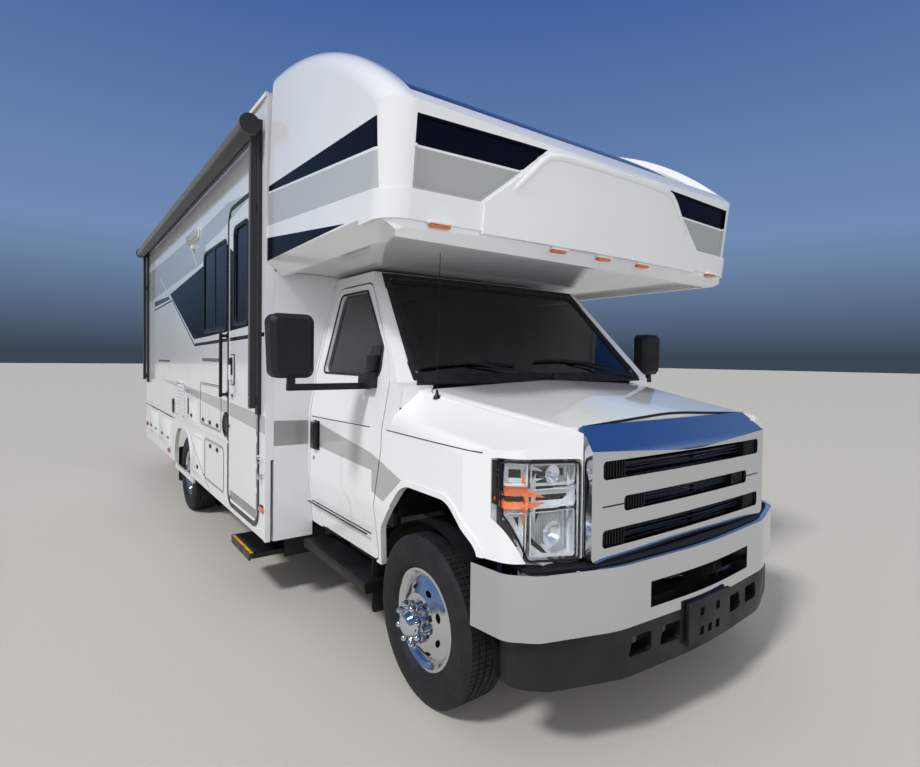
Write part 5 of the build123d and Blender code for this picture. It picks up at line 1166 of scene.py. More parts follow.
# %% Lamp bowls, bulbs, seals and housings
lamp_bowls = (("upper", 0.772, 1.104, 0.034), ("lower", 0.772, 0.876, 0.046))
bulb_section = [(0.0, 0.0), (0.0, 0.011), (-0.016, 0.011), (-0.022, 0.007), (-0.024, 0.0)]
lamp_line = rounded([(0.676, 0.776), (0.878, 0.786), (0.958, 0.978), (0.956, 1.160), (0.676, 1.150)],
                    0.018, 4)
bezel_corners = [(-0.494, 0.992), (-0.474, 0.996), (-0.474, 1.160), (-0.494, 1.160)]
for side, name in sides:
    for title, x, z, radius in lamp_bowls:
        spot = on_front("headlamps", side * x, z, -0.052)
        bowl = turned([(0.004, 0.0), (-0.014, radius * 0.62), (-0.034, radius), (-0.034, radius + 0.003),
                       (-0.012, radius * 0.68), (0.010, 0.0)], spot, "Y", steps=28)
        settle(bowl, f"lamp_bowl_{title}_{name}", reflector)
        bulb = turned(bulb_section, spot, "Y", steps=16)
        settle(bulb, f"lamp_bulb_{title}_{name}", chrome)
    seal_line = [on_front("headlamps", side * x, z, 0.001) for x, z in along_edges(lamp_line, 0.04)]
    settle(tube(seal_line, 0.0045, closed=True), f"lamp_seal_{name}", seal_rubber)
    bezel = draped(bezel_corners, 2, 4, lambda s, z: on_side("headlamps", s, z, 0.0015, side), 0.003)
    settle(bezel, f"lamp_side_bezel_{name}", smooth_black)
    housing = soft_box((side * 0.672, back(-0.512), 0.785), (side * 0.880, back(-0.482), 1.150), 0.006)
    settle(housing, f"lamp_housing_{name}", smooth_black)
print("lamp bowls:", 2 * len(lamp_bowls))

# %% [markdown]
# The windshield is bonded behind a black border that hides the edge of its opening. The border is laid over
# the frame and the glass together, and where a ray falls into the gap between them, one just above or below
# is used and moved along the glass's slope.

# %% Places on the cab's face
windshield_rake = 0.92
gap_shifts = (0.0, -0.014, 0.014, -0.03, 0.03)


def cab_face(x, z, lift=0.0):
    """Place on the windshield or its frame, also across the gap between them."""
    for shift in gap_shifts:
        found = [first_hit(part, (x, ray_start_y, z + shift), (0, 1, 0))
                 for part in ("cab_frame", "windshield")]
        found = [place.y for place in found if place is not None and place.y < back(0.95)]
        if found:
            return Vector((x, min(found) - shift * windshield_rake - lift, z))
    raise ValueError(f"no cab face at {x}, {z}")


print("foot of the windshield at Y", round(cab_face(0.0, 1.45).y, 3))

# %% [markdown]
# The border is made of draped sheets along the foot, the head and both sides, with a patch that rounds each
# corner, and a thick rubber lip closes the foot above the hood.

# %% Windshield border
corner_patches = ([(0.790, 1.430), (0.886, 1.430), (0.878, 1.520), (0.846, 1.520)],
                  [(0.760, 1.930), (0.800, 1.930), (0.778, 2.030), (0.680, 2.030)])
border_strips = [([(-0.866, 1.4275), (0.866, 1.4275), (0.858, 1.4635), (-0.858, 1.4635)], 30, 3, 0.002)]
for side, name in sides:
    side_strip = [(0.838, 1.440), (0.886, 1.440), (0.776, 2.026), (0.728, 2.026)]
    border_strips.append(([(side * x, z) for x, z in side_strip], 4, 14, 0.002))
    border_strips += [([(side * x, z) for x, z in quad], 7, 7, 0.0025) for quad in corner_patches]
border_strips.append(([(-0.768, 1.970), (0.768, 1.970), (0.752, 2.030), (-0.752, 2.030)], 24, 5, 0.002))
border = [draped(corners, columns, rows, lambda x, z: cab_face(x, z, lift), 0.004)
          for corners, columns, rows, lift in border_strips]
lip_line = [cab_face(-0.872 + 0.0545 * i, 1.428, 0.004) + Vector((0, 0, -0.010)) for i in range(33)]
border.append(tube(lip_line, 0.011))
windshield_border = settle(merged(border), "windshield_rubber", seal_rubber)
print("windshield border faces:", len(windshield_border.data.polygons))

# %% [markdown]
# The feet of the two front pillars run down into the fenders. A small painted sheet on each side follows the
# frame and bends back round its corner.

# %% Pillar feet
pillar_corner = 0.945


def pillar_foot(x, z):
    """Place in front of the pillar's foot, sloping back outside the frame's corner."""
    inside_x = math.copysign(min(abs(x), pillar_corner), x)
    return (x, on_front("cab_frame", inside_x, 1.424).y + 0.004 + 0.4 * max(0.0, abs(x) - pillar_corner), z)


for side, name in sides:
    quad = [(side * x, z) for x, z in ((0.780, 1.300), (0.974, 1.300), (0.974, 1.430), (0.780, 1.430))]
    settle(draped(quad, 8, 2, pillar_foot, 0.006), f"pillar_foot_{name}", cab_paint)
print("pillar feet: 2")

# %% [markdown]
# A rubber pad closes the gap between the bumper's chrome top and the lamps above it. It is a sheet whose front
# line follows the bumper at an even 28 mm and whose rear line runs straight under the grille.

# %% Pad on the bumper's top
bumper_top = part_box("front_bumper")[1].z


def bumper_pad(x, t):
    """Place on the pad, from its front line at t = 0 to its rear line at t = 1."""
    edge_y = on_front("front_bumper", x, bumper_top - 0.012).y + 0.028
    return Vector((x, edge_y + max(0.01, back(-0.470) - edge_y) * t, bumper_top + 0.004))


pad_sheet = draped([(-0.890, 0.0), (0.890, 0.0), (0.890, 1.0), (-0.890, 1.0)], 40, 4, bumper_pad, 0.006)
settle(pad_sheet, "bumper_top_pad", seal_rubber)
print("pad on the bumper at Z", round(bumper_top + 0.004, 3))

# %% [markdown]
# Two wipers rest along the foot of the glass. Each is a spindle, a bent arm and a longer blade with its
# rubber lip, made as tubes that follow the glass 10 to 22 mm off it. A thin whip aerial stands on the right
# fender, where a ray from above finds the panel and its turned foot is sunk 4 mm into it.

# %% Wipers and aerial
wipers = (
    # name, pivot, near end and far end of the blade, as X and Z
    ("right", (0.048, 1.440), (-0.193, 1.505), (-0.810, 1.490)),
    ("left", (0.790, 1.440), (0.578, 1.500), (-0.020, 1.530)),
)
blade_steps, blade_bow = 12, 0.018
spindle_section = [(0.012, 0.0), (0.012, 0.017), (-0.004, 0.016), (-0.012, 0.009), (-0.012, 0.0)]
for title, pivot, near, far in wipers:
    line = []
    for i in range(blade_steps + 1):
        x, z = Vector(near).lerp(Vector(far), i / blade_steps)
        line.append(cab_face(x, z + blade_bow * math.sin(math.pi * i / blade_steps), 0.010))
    blade = merged([tube([p + Vector((0, -0.006, 0.004)) for p in line], 0.0055), tube(line, 0.0035)])
    settle(blade, f"wiper_blade_{title}", seal_rubber)
    foot = cab_face(*pivot, 0.016)
    arm_end = line[blade_steps // 2] + Vector((0, -0.012, 0.004))
    bend = foot.lerp(arm_end, 0.25) + Vector((0, -0.014, 0.004))
    arm = merged([tube([foot, bend, foot.lerp(arm_end, 0.7), arm_end], 0.0052),
                  turned(spindle_section, foot, "Y", steps=18)])
    settle(arm, f"wiper_arm_{title}", powder_black)
base = skin("fender_right", (-0.836, back(0.104), 2.0), (0, 0, -1))
foot_section = [(-0.004, 0.0), (-0.004, 0.019), (0.006, 0.017), (0.016, 0.009), (0.036, 0.005), (0.036, 0.0)]
whip = tube([base + Vector((0, 0, 0.03)), (-0.806, back(0.134), 2.045)], 0.0019)
settle(merged([turned(foot_section, base, "Z", 20), whip]), "aerial", powder_black)
print("wipers:", len(wipers), "aerial foot at Z", round(base.z, 3))

# %% [markdown]
# The side glass sits in rubber, with a black sail panel in its front corner that carries the mirror's arm. The
# seal is a tube round the window opening, and the sail is a draped sheet. Both follow the cabin's side, which
# leans in towards the roof.

# %% Door glass seals and mirror sails
window_edge = [(0.424, 1.446), (0.456, 1.594), (0.797, 1.922), (1.147, 1.922), (1.157, 1.446)]
sail_corners = [(0.432, 1.450), (0.600, 1.450), (0.565, 1.600), (0.474, 1.606)]


def side_wall_x(z):
    """Half width of the cabin at a height, read behind the door window."""
    return abs(on_side("cab_door_right", 1.200, z).x)


for side, name in sides:
    door = f"cab_door_{name}"
    ring = [Vector((side * (side_wall_x(z) + 0.001), back(s), z))
            for s, z in along_edges(rounded(window_edge, 0.035, 4), 0.04)]
    settle(tube(ring, 0.0065, closed=True), f"door_glass_seal_{name}", seal_rubber, door)
    sail = draped(sail_corners, 5, 5, lambda s, z: (side * (side_wall_x(z) + 0.003), back(s), z), 0.010)
    settle(sail, f"mirror_sail_{name}", smooth_black, door)
    foot_x = side_wall_x(1.50)
    boot = soft_box((side * (foot_x - 0.004), back(0.462), 1.462),
                    (side * (foot_x + 0.040), back(0.540), 1.556), 0.012)
    settle(boot, f"mirror_arm_boot_{name}", moulded_black, door)
print("half width at the window's foot:", round(side_wall_x(1.45), 3))

# %% [markdown]
# A black paddle handle stands in its cup with a bright key lock below it. A pressed line runs along the door
# and on over the fender. It would be a fold in the sheet, but at this size only its thin shadow shows, so a
# fine dark rod is laid almost flush with the skin.

# %% Door handles, locks and pressed lines
lock_section = [(-0.002, 0.0), (-0.002, 0.014), (0.003, 0.013), (0.004, 0.009), (0.002, 0.008), (0.002, 0.0)]
crease_lift, crease_radius = 0.0006, 0.0022
for side, name in sides:
    door = f"cab_door_{name}"
    cup = plate(wall_rect(1.114, 1.212, 0.976, 1.152), "X", side * 0.9945, side * 0.9985, 0.012, 0.0)
    pull = soft_box((side * 0.990, back(1.133), 0.982), (side * 1.0385, back(1.199), 1.146), 0.009)
    settle(merged([cup, pull]), f"door_pull_{name}", smooth_black, door)
    lock = turned(lock_section, (0.0, 0.0, 0.0), "X", 20)
    lock_place = on_side(door, 1.202, 0.923, 0.0, side)
    lock.data.transform(Matrix.Translation(lock_place) @ Matrix.Scale(side, 4, (1, 0, 0)))
    if side < 0:
        lock.data.flip_normals()
    settle(lock, f"door_lock_{name}", chrome, door)
    line = [on_side(door, 1.236 - 0.049 * i, 1.174 + 0.0009 * i, crease_lift, side) for i in range(17)]
    settle(tube(line, crease_radius), f"door_crease_{name}", seal_rubber, door)
    line = [on_side(f"fender_{name}", 0.280 - 0.0355 * i, 1.192 - 0.00055 * i, crease_lift, side)
            for i in range(21)]
    settle(tube(line, crease_radius), f"fender_crease_{name}", seal_rubber)
print("cab doors trimmed")

# %% [markdown]
# Each mirror head holds a large flat glass over a small wide-angle one. They are thin plates laid on the
# head's rear face, and they ride on the door with it.

# %% Mirror glasses
for side, name in sides:
    _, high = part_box(f"mirror_{name}")
    inner, outer = side * 1.302, side * 1.488
    glass = merged([plate(rect(inner, outer, low_z, high_z), "Y", high.y - 0.001, high.y + 0.002, radius)
                    for low_z, high_z, radius in ((1.520, 1.722, 0.02), (1.452, 1.508, 0.012))])
    settle(glass, f"mirror_glass_{name}", mirror_pane, f"cab_door_{name}")
print("mirror glasses: 4")

# %% [markdown]
# Each grille slot has three thin bars in the middle and is closed by a row of upright fins near its ends. One
# fin is bevelled from a box, and an Array modifier repeats it at a 15 mm pitch before it is applied, which is
# how a moulding repeats it too. A dark groove marks where the grille's two mouldings meet.

# %% Grille fins and joints
fin_count, fin_pitch = 9, 0.015
grille_slots = (("top", 1.078, 1.149, 0.596), ("middle", 0.944, 1.003, 0.474),
                ("bottom", 0.813, 0.881, 0.596))
for title, slot_low, slot_high, reach in grille_slots:
    for side, name in sides:
        face_y = on_front("grille", side * (reach - 0.06), slot_high + 0.016).y
        fin = soft_box((side * (reach - 0.006), face_y + 0.018, slot_low),
                       (side * (reach - 0.010), face_y + 0.052, slot_high), 0.0012, 1)
        applied(fin, "ARRAY", count=fin_count, use_relative_offset=False, use_constant_offset=True,
                constant_offset_displace=(-side * fin_pitch, -0.0018, 0.0))
        bars = [tube([(side * 0.02, face_y + 0.008, z), (side * (reach - 0.12), face_y + 0.026, z)], 0.0032)
                for z in (slot_low + 0.02, (slot_low + slot_high) / 2, slot_high - 0.02)]
        settle(merged([fin] + bars), f"grille_fins_{title}_{name}", smooth_black)
for side, name in sides:
    groove = [on_front("grille", side * x, 0.9735, -0.0008) for x in (0.478, 0.520, 0.560, 0.600)]
    settle(tube(groove, 0.0035), f"grille_joint_{name}", smooth_black)
print("grille fins:", 2 * fin_count * len(grille_slots))

# %% [markdown]
# A rubber strip along the hood's front edge closes the gap to the grille. The edge is curved, so it is
# searched for: rays come down 2 mm further back each time, until one meets the hood.

# %% The hood's front rubber
def hood_edge(x):
    """Front edge of the hood at an X value, found by rays from above."""
    for i in range(120):
        place = first_hit("hood", (x, back(-0.720) + 0.002 * i, 3.0), (0, 0, -1))
        if place is not None:
            return place
    raise ValueError(f"no hood at {x}")


strip = tube([hood_edge(-0.60 + 0.04 * i) + Vector((0, -0.005, -0.001)) for i in range(31)], 0.0062)
settle(strip, "hood_front_rubber", seal_rubber, "hood")
print("hood edge at Y", round(hood_edge(0.0).y, 3))

# %% [markdown]
# Dark plastic closes the wheel arches from inside, and a rubber flap hangs behind each wheel. The liner is a
# strip bent over the wheel: a short line in front of the wheel is spun half round it and given a wall. It
# stands at least 50 mm clear of the tyre.

# %% Arch liners and mud flaps
liner_radius = 0.478
liner_centre = Vector((0.0, axle_y, 0.320))
for side, name in sides:
    bpy.ops.object.select_all(action="DESELECT")
    bpy.ops.mesh.primitive_circle_add(vertices=3, fill_type="NOTHING")
    liner = bpy.context.object
    for vertex, (x, lip) in zip(liner.data.vertices, ((0.690, 0.02), (0.700, 0.0), (0.948, 0.0))):
        vertex.co = liner_centre + Vector((side * x, lip - liner_radius, 0.0))
    edit(liner)
    bpy.ops.mesh.spin(steps=24, angle=math.pi, center=liner_centre, axis=(1, 0, 0))
    done()
    applied(liner, "SOLIDIFY", thickness=0.003, offset=0.0)
    settle(liner, f"arch_liner_{name}", moulded_black, angle=50.0)
    flap = plate(rect(side * 0.745, side * 0.972, 0.215, 0.640), "Y", back(0.482), back(0.489), 0.02)
    settle(flap, f"mud_flap_front_{name}", seal_rubber)
    rear_flap = plate(rect(side * 0.760, side * 1.225, 0.190, 0.560), "Y", back(4.520), back(4.528), 0.02)
    settle(rear_flap, f"mud_flap_rear_{name}", seal_rubber)
print("liner top at Z", round(liner_centre.z + liner_radius, 3))

# %% [markdown]
# The entry door is a flat laminated panel in an aluminium frame. Round it run a black surround and a seal
# line, and it has a white edge of its own, a dark window in a black frame and a bright kick strip. A frame is
# the outline of the opening, moved in or out, inset and extruded a few millimetres.

# %% Entry door frames
skin_x = -body_half
door_line = wall_rect(1.478, 2.188, 0.486, 2.576)
pane_line = wall_rect(1.709, 2.055, 1.766, 2.441)


def grown(corners, by):
    """Rectangle with each side moved outwards."""
    middle = (sum(c[0] for c in corners) / 4, sum(c[1] for c in corners) / 4)
    return [(a + math.copysign(by, a - middle[0]), b + math.copysign(by, b - middle[1])) for a, b in corners]


door_frames = (
    # outline, how far it is moved out, outer and inner face, width, corner radius, name, body, finish
    (door_line, 0.034, 0.006, 0.001, 0.026, 0.115, "entry_door_surround", "vehicle", smooth_black),
    (door_line, 0.007, 0.004, 0.001, 0.008, 0.090, "entry_door_seal", "vehicle", seal_rubber),
    (door_line, -0.010, 0.0035, 0.001, 0.016, 0.080, "entry_door_edge", "entry_door", white_plastic),
    (pane_line, 0.014, 0.006, 0.004, 0.026, 0.060, "entry_window_frame", "entry_door", powder_black),
)
for line, by, proud, sunk, width, radius, title, body, finish in door_frames:
    ring = frame_of(grown(line, by), "X", skin_x - proud, skin_x + sunk, width, radius)
    settle(ring, title, finish, body)
sill = plate(wall_rect(1.510, 2.156, 0.506, 0.566), "X", skin_x - 0.002, skin_x + 0.001, 0.006, 0.0005)
settle(sill, "entry_door_kick_strip", mill_metal, "entry_door")
print("entry door frames:", len(door_frames))

# %% [markdown]
# The door hangs on a long hinge, whose knuckles show as a row of short rods. Its latch is a recessed cup with
# a paddle and a key lock, and a bright dead bolt sits below.

# %% Entry door hinge, latch and bolt
latch_y = back(2.091)
proud_x, hinge_y = skin_x - 0.006, back(1.470)
knuckle_feet = [0.56 + 0.16 * i for i in range(12)]
hinge = merged([tube([(proud_x, hinge_y, z), (proud_x, hinge_y, z + 0.118)], 0.006) for z in knuckle_feet])
settle(hinge, "entry_door_hinge_knuckles", mill_metal)
latch = merged([
    frame_of(wall_rect(2.036, 2.146, 1.334, 1.554), "X", proud_x, skin_x + 0.001, 0.012, 0.016),
    plate(wall_rect(2.046, 2.136, 1.344, 1.544), "X", skin_x - 0.0015, skin_x + 0.001, 0.010, 0.0),
    soft_box((skin_x - 0.020, back(2.060), 1.405), (skin_x - 0.001, back(2.124), 1.530), 0.007),
    turned([(0.0, 0.0), (0.0, 0.013), (-0.006, 0.012), (-0.006, 0.0)],
           (skin_x - 0.001, latch_y, 1.373), "X", 20),
])
settle(latch, "entry_latch", smooth_black, "entry_door")
bolt_lock = turned([(0.0, 0.0), (0.0, 0.019), (-0.008, 0.017), (-0.010, 0.008), (-0.010, 0.0)],
                   (skin_x, latch_y, 1.250), "X", 24)
settle(bolt_lock, "entry_dead_bolt", chrome, "entry_door")
print("hinge knuckles:", len(knuckle_feet))

# %% [markdown]
# Windows on such a body are clamped from inside against a thin black flange. Besides the flange, a slider
# shows an upright bar where its two panes meet and a track along the bottom.

# %% House window flanges
window_places = (
    # side, front, rear, low, high
    (-1, 2.272, 3.050, 1.742, 2.404), (1, 1.750, 2.750, 1.600, 2.250),
    (1, 3.500, 4.200, 1.700, 2.250), (1, 5.300, 6.100, 1.650, 2.250),
)
for number, (side, front, rear, low_z, high_z) in enumerate(window_places, 1):
    outer = side * body_half
    line = wall_rect(front, rear, low_z, high_z)
    flange = frame_of(grown(line, 0.012), "X", outer + side * 0.005, outer - side * 0.004, 0.024, 0.068)
    bar = soft_box((outer + side * 0.001, back((front + rear) / 2 - 0.011), low_z + 0.01),
                   (outer - side * 0.016, back((front + rear) / 2 + 0.011), high_z - 0.01), 0.002)
    track = soft_box((outer + side * 0.001, back(front + 0.03), low_z + 0.010),
                     (outer - side * 0.016, back(rear - 0.03), low_z + 0.026), 0.002)
    settle(merged([flange, bar, track]), f"house_window_flange_{number}", powder_black)
print("window flanges:", len(window_places))

# %% [markdown]
# Service hatches run along the lower body. The hinged ones are nodes of the solid model and only need a seal
# line and latches, which two small functions make.

# %% Hatch seals and latches
def latch_row(places, z, side):
    """Small paddle latches in a row at a height."""
    outer = side * body_half
    made = []
    for station in places:
        made.append(plate(wall_rect(station - 0.032, station + 0.032, z - 0.017, z + 0.017), "X",
                          outer - side * 0.001, outer + side * 0.004, 0.010))
        made.append(soft_box((outer + side * 0.001, back(station - 0.020), z - 0.008),
                             (outer + side * 0.009, back(station + 0.022), z + 0.007), 0.003))
    return made


def seal_frame(front, rear, low_z, high_z, side, width=0.005, proud=0.002, radius=0.026):
    """Thin seal line round a hatch, given by its distances behind the front axle and its heights."""
    outer = side * body_half
    return frame_of(wall_rect(front, rear, low_z, high_z), "X", outer + side * proud,
                    outer - side * 0.002, width, radius, 0.0)


for side, name in sides:
    settle(merged([seal_frame(2.438, 3.198, 0.958, 1.300, side)] + latch_row((2.56, 2.82, 3.08), 0.992, side)),
           f"storage_hatch_trim_{name}", smooth_black, f"storage_hatch_{name}")
settle(merged([seal_frame(2.351, 3.014, 0.506, 0.840, -1)] + latch_row((2.56, 2.80), 0.800, -1)),
       "skirt_hatch_trim", smooth_black, "skirt_hatch_right")
print("hinged hatches trimmed: 3")

# %% [markdown]
# The fixed hatches, for the heater, the water and the power inlet, are low frames with a lid set into them,
# all made from one table of places. Their seals and latches are made for the bare wall, so the points that
# stand proud are then lifted by the lid's thickness.

# %% Fixed hatches
lid_lift = 0.004
fixed_hatches = (
    # side, front, rear, low, high, latch places
    (-1, 3.321, 3.820, 0.926, 1.193, (3.57,)), (-1, 3.063, 3.520, 0.490, 0.826, (3.29,)),
    (-1, 4.700, 5.540, 0.560, 0.850, (4.90, 5.34)), (-1, 5.640, 6.480, 0.560, 0.850, (5.84, 6.28)),
    (1, 3.350, 3.780, 0.950, 1.250, (3.56,)), (1, 4.700, 5.540, 0.560, 0.850, (4.90, 5.34)),
    (1, 5.640, 6.480, 0.560, 0.850, (5.84, 6.28)), (1, 1.500, 2.300, 0.520, 0.840, (1.70, 2.10)),
)
for number, (side, front, rear, low_z, high_z, latches) in enumerate(fixed_hatches, 1):
    outer = side * body_half
    line = wall_rect(front, rear, low_z, high_z)
    rim = frame_of(line, "X", outer + side * 0.0055, outer - side * 0.001, 0.020, 0.030)
    lid = plate(grown(line, -0.026), "X", outer + side * 0.0045, outer - side * 0.001, 0.020)
    settle(merged([rim, lid]), f"hatch_{number}", gelcoat_wall)
    seal = seal_frame(front + 0.020, rear - 0.020, low_z + 0.020, high_z - 0.020, side, 0.006, 0.0015, 0.024)
    dark = merged([seal] + latch_row(latches, low_z + 0.060, side))
    for vertex in dark.data.vertices:
        if abs(vertex.co.x) > body_half + 0.003:
            vertex.co.x += side * lid_lift
    settle(dark, f"hatch_seal_{number}", smooth_black)
print("fixed hatches:", len(fixed_hatches))

# %% [markdown]
# The refrigerator breathes through louvres: a frame with sloping slats over a black sheet, painted shade of
# the opening behind them. One slat is a thin plate tilted down and outwards, and an Array modifier stacks it.

# %% Louvres
def louvre(number, side, front, rear, low_z, high_z, slats):
    """Frame with sloping slats over a black sheet, painted shade of the opening."""
    outer = side * body_half
    proud, flush, sunk = outer + side * 0.013, outer + side * 0.001, outer - side * 0.001
    rim = frame_of(wall_rect(front, rear, low_z, high_z), "X", outer + side * 0.012, sunk, 0.022, 0.018, 0.003)
    shade_line = wall_rect(front + 0.01, rear - 0.01, low_z + 0.01, high_z - 0.01)
    shade_sheet = plate(shade_line, "X", outer + side * 0.0012, sunk, 0.0, 0.0)
    pitch = (high_z - low_z - 0.050) / slats
    slat_front, slat_rear, slat_low = back(front + 0.020), back(rear - 0.020), low_z + 0.026
    slat = outline_face([(proud, slat_front, slat_low), (proud, slat_rear, slat_low),
                         (flush, slat_rear, slat_low + pitch * 0.8),
                         (flush, slat_front, slat_low + pitch * 0.8)])
    edit(slat)
    thicken(slat, (0.0, 0.0, 0.003), 0.0)
    applied(slat, "ARRAY", count=slats, use_relative_offset=False, use_constant_offset=True,
            constant_offset_displace=(0.0, 0.0, pitch))
    settle(shade_sheet, f"louvre_shade_{number}", smooth_black)
    settle(merged([rim, slat]), f"louvre_{number}", white_plastic)


louvre(1, -1, 3.927, 4.276, 0.925, 1.283, 9)
louvre(2, 1, 4.500, 5.050, 0.930, 1.330, 10)
louvre(3, 1, 4.500, 5.050, 1.720, 2.020, 8)
print("louvres: 3")

# %% [markdown]
# The heater's round vent is a turned ring over a disc with five flat bars across it. Two small covers, an
# oval and a slot, are plates with well rounded corners.

# %% Vents and small covers
vent_centre = Vector((skin_x, back(2.276), 1.030))
vent_ring = [(0.001, 0.070), (0.001, 0.096), (-0.008, 0.092), (-0.012, 0.080), (-0.006, 0.070)]
vent_disc = [(0.001, 0.0), (0.001, 0.072), (-0.002, 0.072), (-0.002, 0.0)]
vent_bars = [soft_box(vent_centre + Vector((-0.008, -0.068, z)),
                      vent_centre + Vector((0.0, 0.068, z + 0.006)), 0.001, 1)
             for z in (-0.036, -0.018, 0.0, 0.018, 0.036)]
vent_rounds = [turned(section, vent_centre, "X", 36) for section in (vent_ring, vent_disc)]
settle(merged(vent_rounds + vent_bars), "heater_vent", smooth_black)
oval = plate(wall_rect(4.520, 4.634, 0.926, 1.080), "X", skin_x - 0.010, skin_x + 0.001, 0.050, 0.004)
settle(oval, "oval_vent_cover", smooth_black)
slot_cover = plate(wall_rect(3.700, 3.745, 0.985, 1.140), "X", skin_x - 0.009, skin_x + 0.001, 0.012)
settle(slot_cover, "outside_shower_slot", smooth_black)
print("vents and covers: 3")

# %% [markdown]
# A long porch lamp with a prismatic lens is mounted on a white base over the window, with a small socket
# below it. All three are blocks with rounded edges, made from one table.

# %% Porch lamp and socket
wall_blocks = (
    # name, front, rear, low, high, outer face, inner face, edge radius, finish
    ("porch_lamp_base", 3.246, 3.718, 2.580, 2.676, 0.012, 0.001, 0.005, white_plastic),
    ("porch_lamp_lens", 3.262, 3.702, 2.594, 2.662, 0.034, -0.010, 0.010, optic_plastic),
    ("entertainment_socket", 3.440, 3.520, 2.510, 2.550, 0.030, 0.001, 0.008, white_plastic),
)
for title, front, rear, low_z, high_z, proud, sunk, radius, finish in wall_blocks:
    block = soft_box((skin_x - proud, back(front), low_z), (skin_x + sunk, back(rear), high_z), radius)
    settle(block, title, finish)
print("blocks on the wall:", len(wall_blocks))

# %% [markdown]
# Side markers show the vehicle's length at night, amber at the front and middle and red at the rear, each on
# a black bed. A water tap and a hook stand in front of the entry door: a turned spout with a block as its
# handle, and a bent tube.

# %% Side markers, tap and hook
markers = (("front", 1.372, 0.600, amber_lens), ("middle", 4.860, 0.480, amber_lens),
           ("rear", 6.680, 0.600, red_lens))
for side, name in sides:
    outer = side * body_half
    for title, station, z, finish in markers:
        bed = plate(wall_rect(station - 0.052, station + 0.052, z - 0.024, z + 0.024), "X",
                    outer - side * 0.001, outer + side * 0.004, 0.010)
        settle(bed, f"marker_bed_{title}_{name}", smooth_black)
        marker = soft_box((outer + side * 0.002, back(station - 0.044), z - 0.016),
                          (outer + side * 0.014, back(station + 0.044), z + 0.016), 0.005)
        settle(marker, f"marker_lens_{title}_{name}", finish)
spout = turned([(0.0, 0.0), (0.0, 0.020), (-0.004, 0.020), (-0.006, 0.010), (-0.030, 0.010), (-0.030, 0.0)],
               (skin_x, back(1.386), 0.799), "X", 16)
handle = soft_box((skin_x - 0.034, back(1.376), 0.782), (skin_x - 0.024, back(1.396), 0.826), 0.004)
hook = tube([(skin_x - reach, back(1.411), z)
             for reach, z in ((-0.001, 0.916), (0.024, 0.912), (0.026, 0.888), (0.008, 0.880))], 0.005)
settle(merged([spout, handle, hook]), "tap_and_hook", chrome)
print("markers:", 2 * len(markers))

# %% [markdown]
# Under the cap's lip are the small clearance lamps that show the vehicle's width at night. Three stand in the
# middle and one near each corner, each an amber lens on a white base, placed on the cap's underside by a ray
# from below.

# %% Cap clearance lamps
clearance_places = (-1.02, -0.33, 0.0, 0.33, 1.02)
for number, x in enumerate(clearance_places, 1):
    under = skin("front_cap", (x, back(-0.180), 1.0), (0, 0, 1))
    base = soft_box((x - 0.058, under.y - 0.020, under.z - 0.007),
                    (x + 0.058, under.y + 0.020, under.z + 0.004), 0.003)
    settle(base, f"clearance_base_{number}", white_plastic)
    lens_piece = soft_box((x - 0.048, under.y - 0.014, under.z - 0.020),
                          (x + 0.048, under.y + 0.014, under.z - 0.005), 0.006)
    settle(lens_piece, f"clearance_lens_{number}", amber_lens)
print("clearance lamps:", len(clearance_places))

# %% [markdown]
# The cap's face has a sculpted brow: a soft ridge runs up the slanted ends of the dark panels and across above
# the plain middle. It is a tube laid half into the face, in the same gelcoat, so only its shading shows.

# %% Brow on the cap's face
brow_end = [(0.672, 2.272, -0.021), (0.640, 2.304, -0.012), (0.585, 2.360, -0.008),
            (0.520, 2.428, -0.007), (0.476, 2.460, -0.007), (0.400, 2.477, -0.007)]
brow_line = ([(-x, z, lift) for x, z, lift in brow_end] + [(x, 2.482, -0.007) for x in (-0.19, 0.0, 0.19)]
             + brow_end[::-1])
brow = tube([on_front("front_cap", x, z, lift) for x, z, lift in brow_line], 0.020)
settle(brow, "cap_brow", gelcoat_plain, angle=60.0)
print("brow points:", len(brow_line))

# %% [markdown]
# The awning's solid gives its roll and arms. The roll gets round end caps, and five stainless screws hold
# each arm to the wall.

# %% Awning end caps and screws
low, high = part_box("awning")
for title, y, way in (("front", low.y + 0.002, -1), ("rear", high.y - 0.002, 1)):
    end_section = [(0.0, 0.0), (0.0, 0.047), (-way * 0.012, 0.047), (-way * 0.012, 0.0)]
    end_cap = turned(end_section, (-1.358, y, 2.925), "Y", 32)
    settle(end_cap, f"awning_end_{title}", powder_black)
screws = []
for station in (1.426, 6.522):
    for z in (1.230, 1.290, 1.900, 2.400, 2.780):
        screws.append(turned([(0.002, 0.0), (0.002, 0.008), (-0.002, 0.007), (-0.004, 0.0)],
                             (-1.3405, back(station), z), "X", 12))
settle(merged(screws), "awning_arm_screws", stainless)
print("awning screws:", len(screws))

# %% [markdown]
# Feet need grip. The running boards get seven raised ribs each, and the entry step gets a ribbed rubber mat
# and a line of yellow film along its edge, worn in patches.

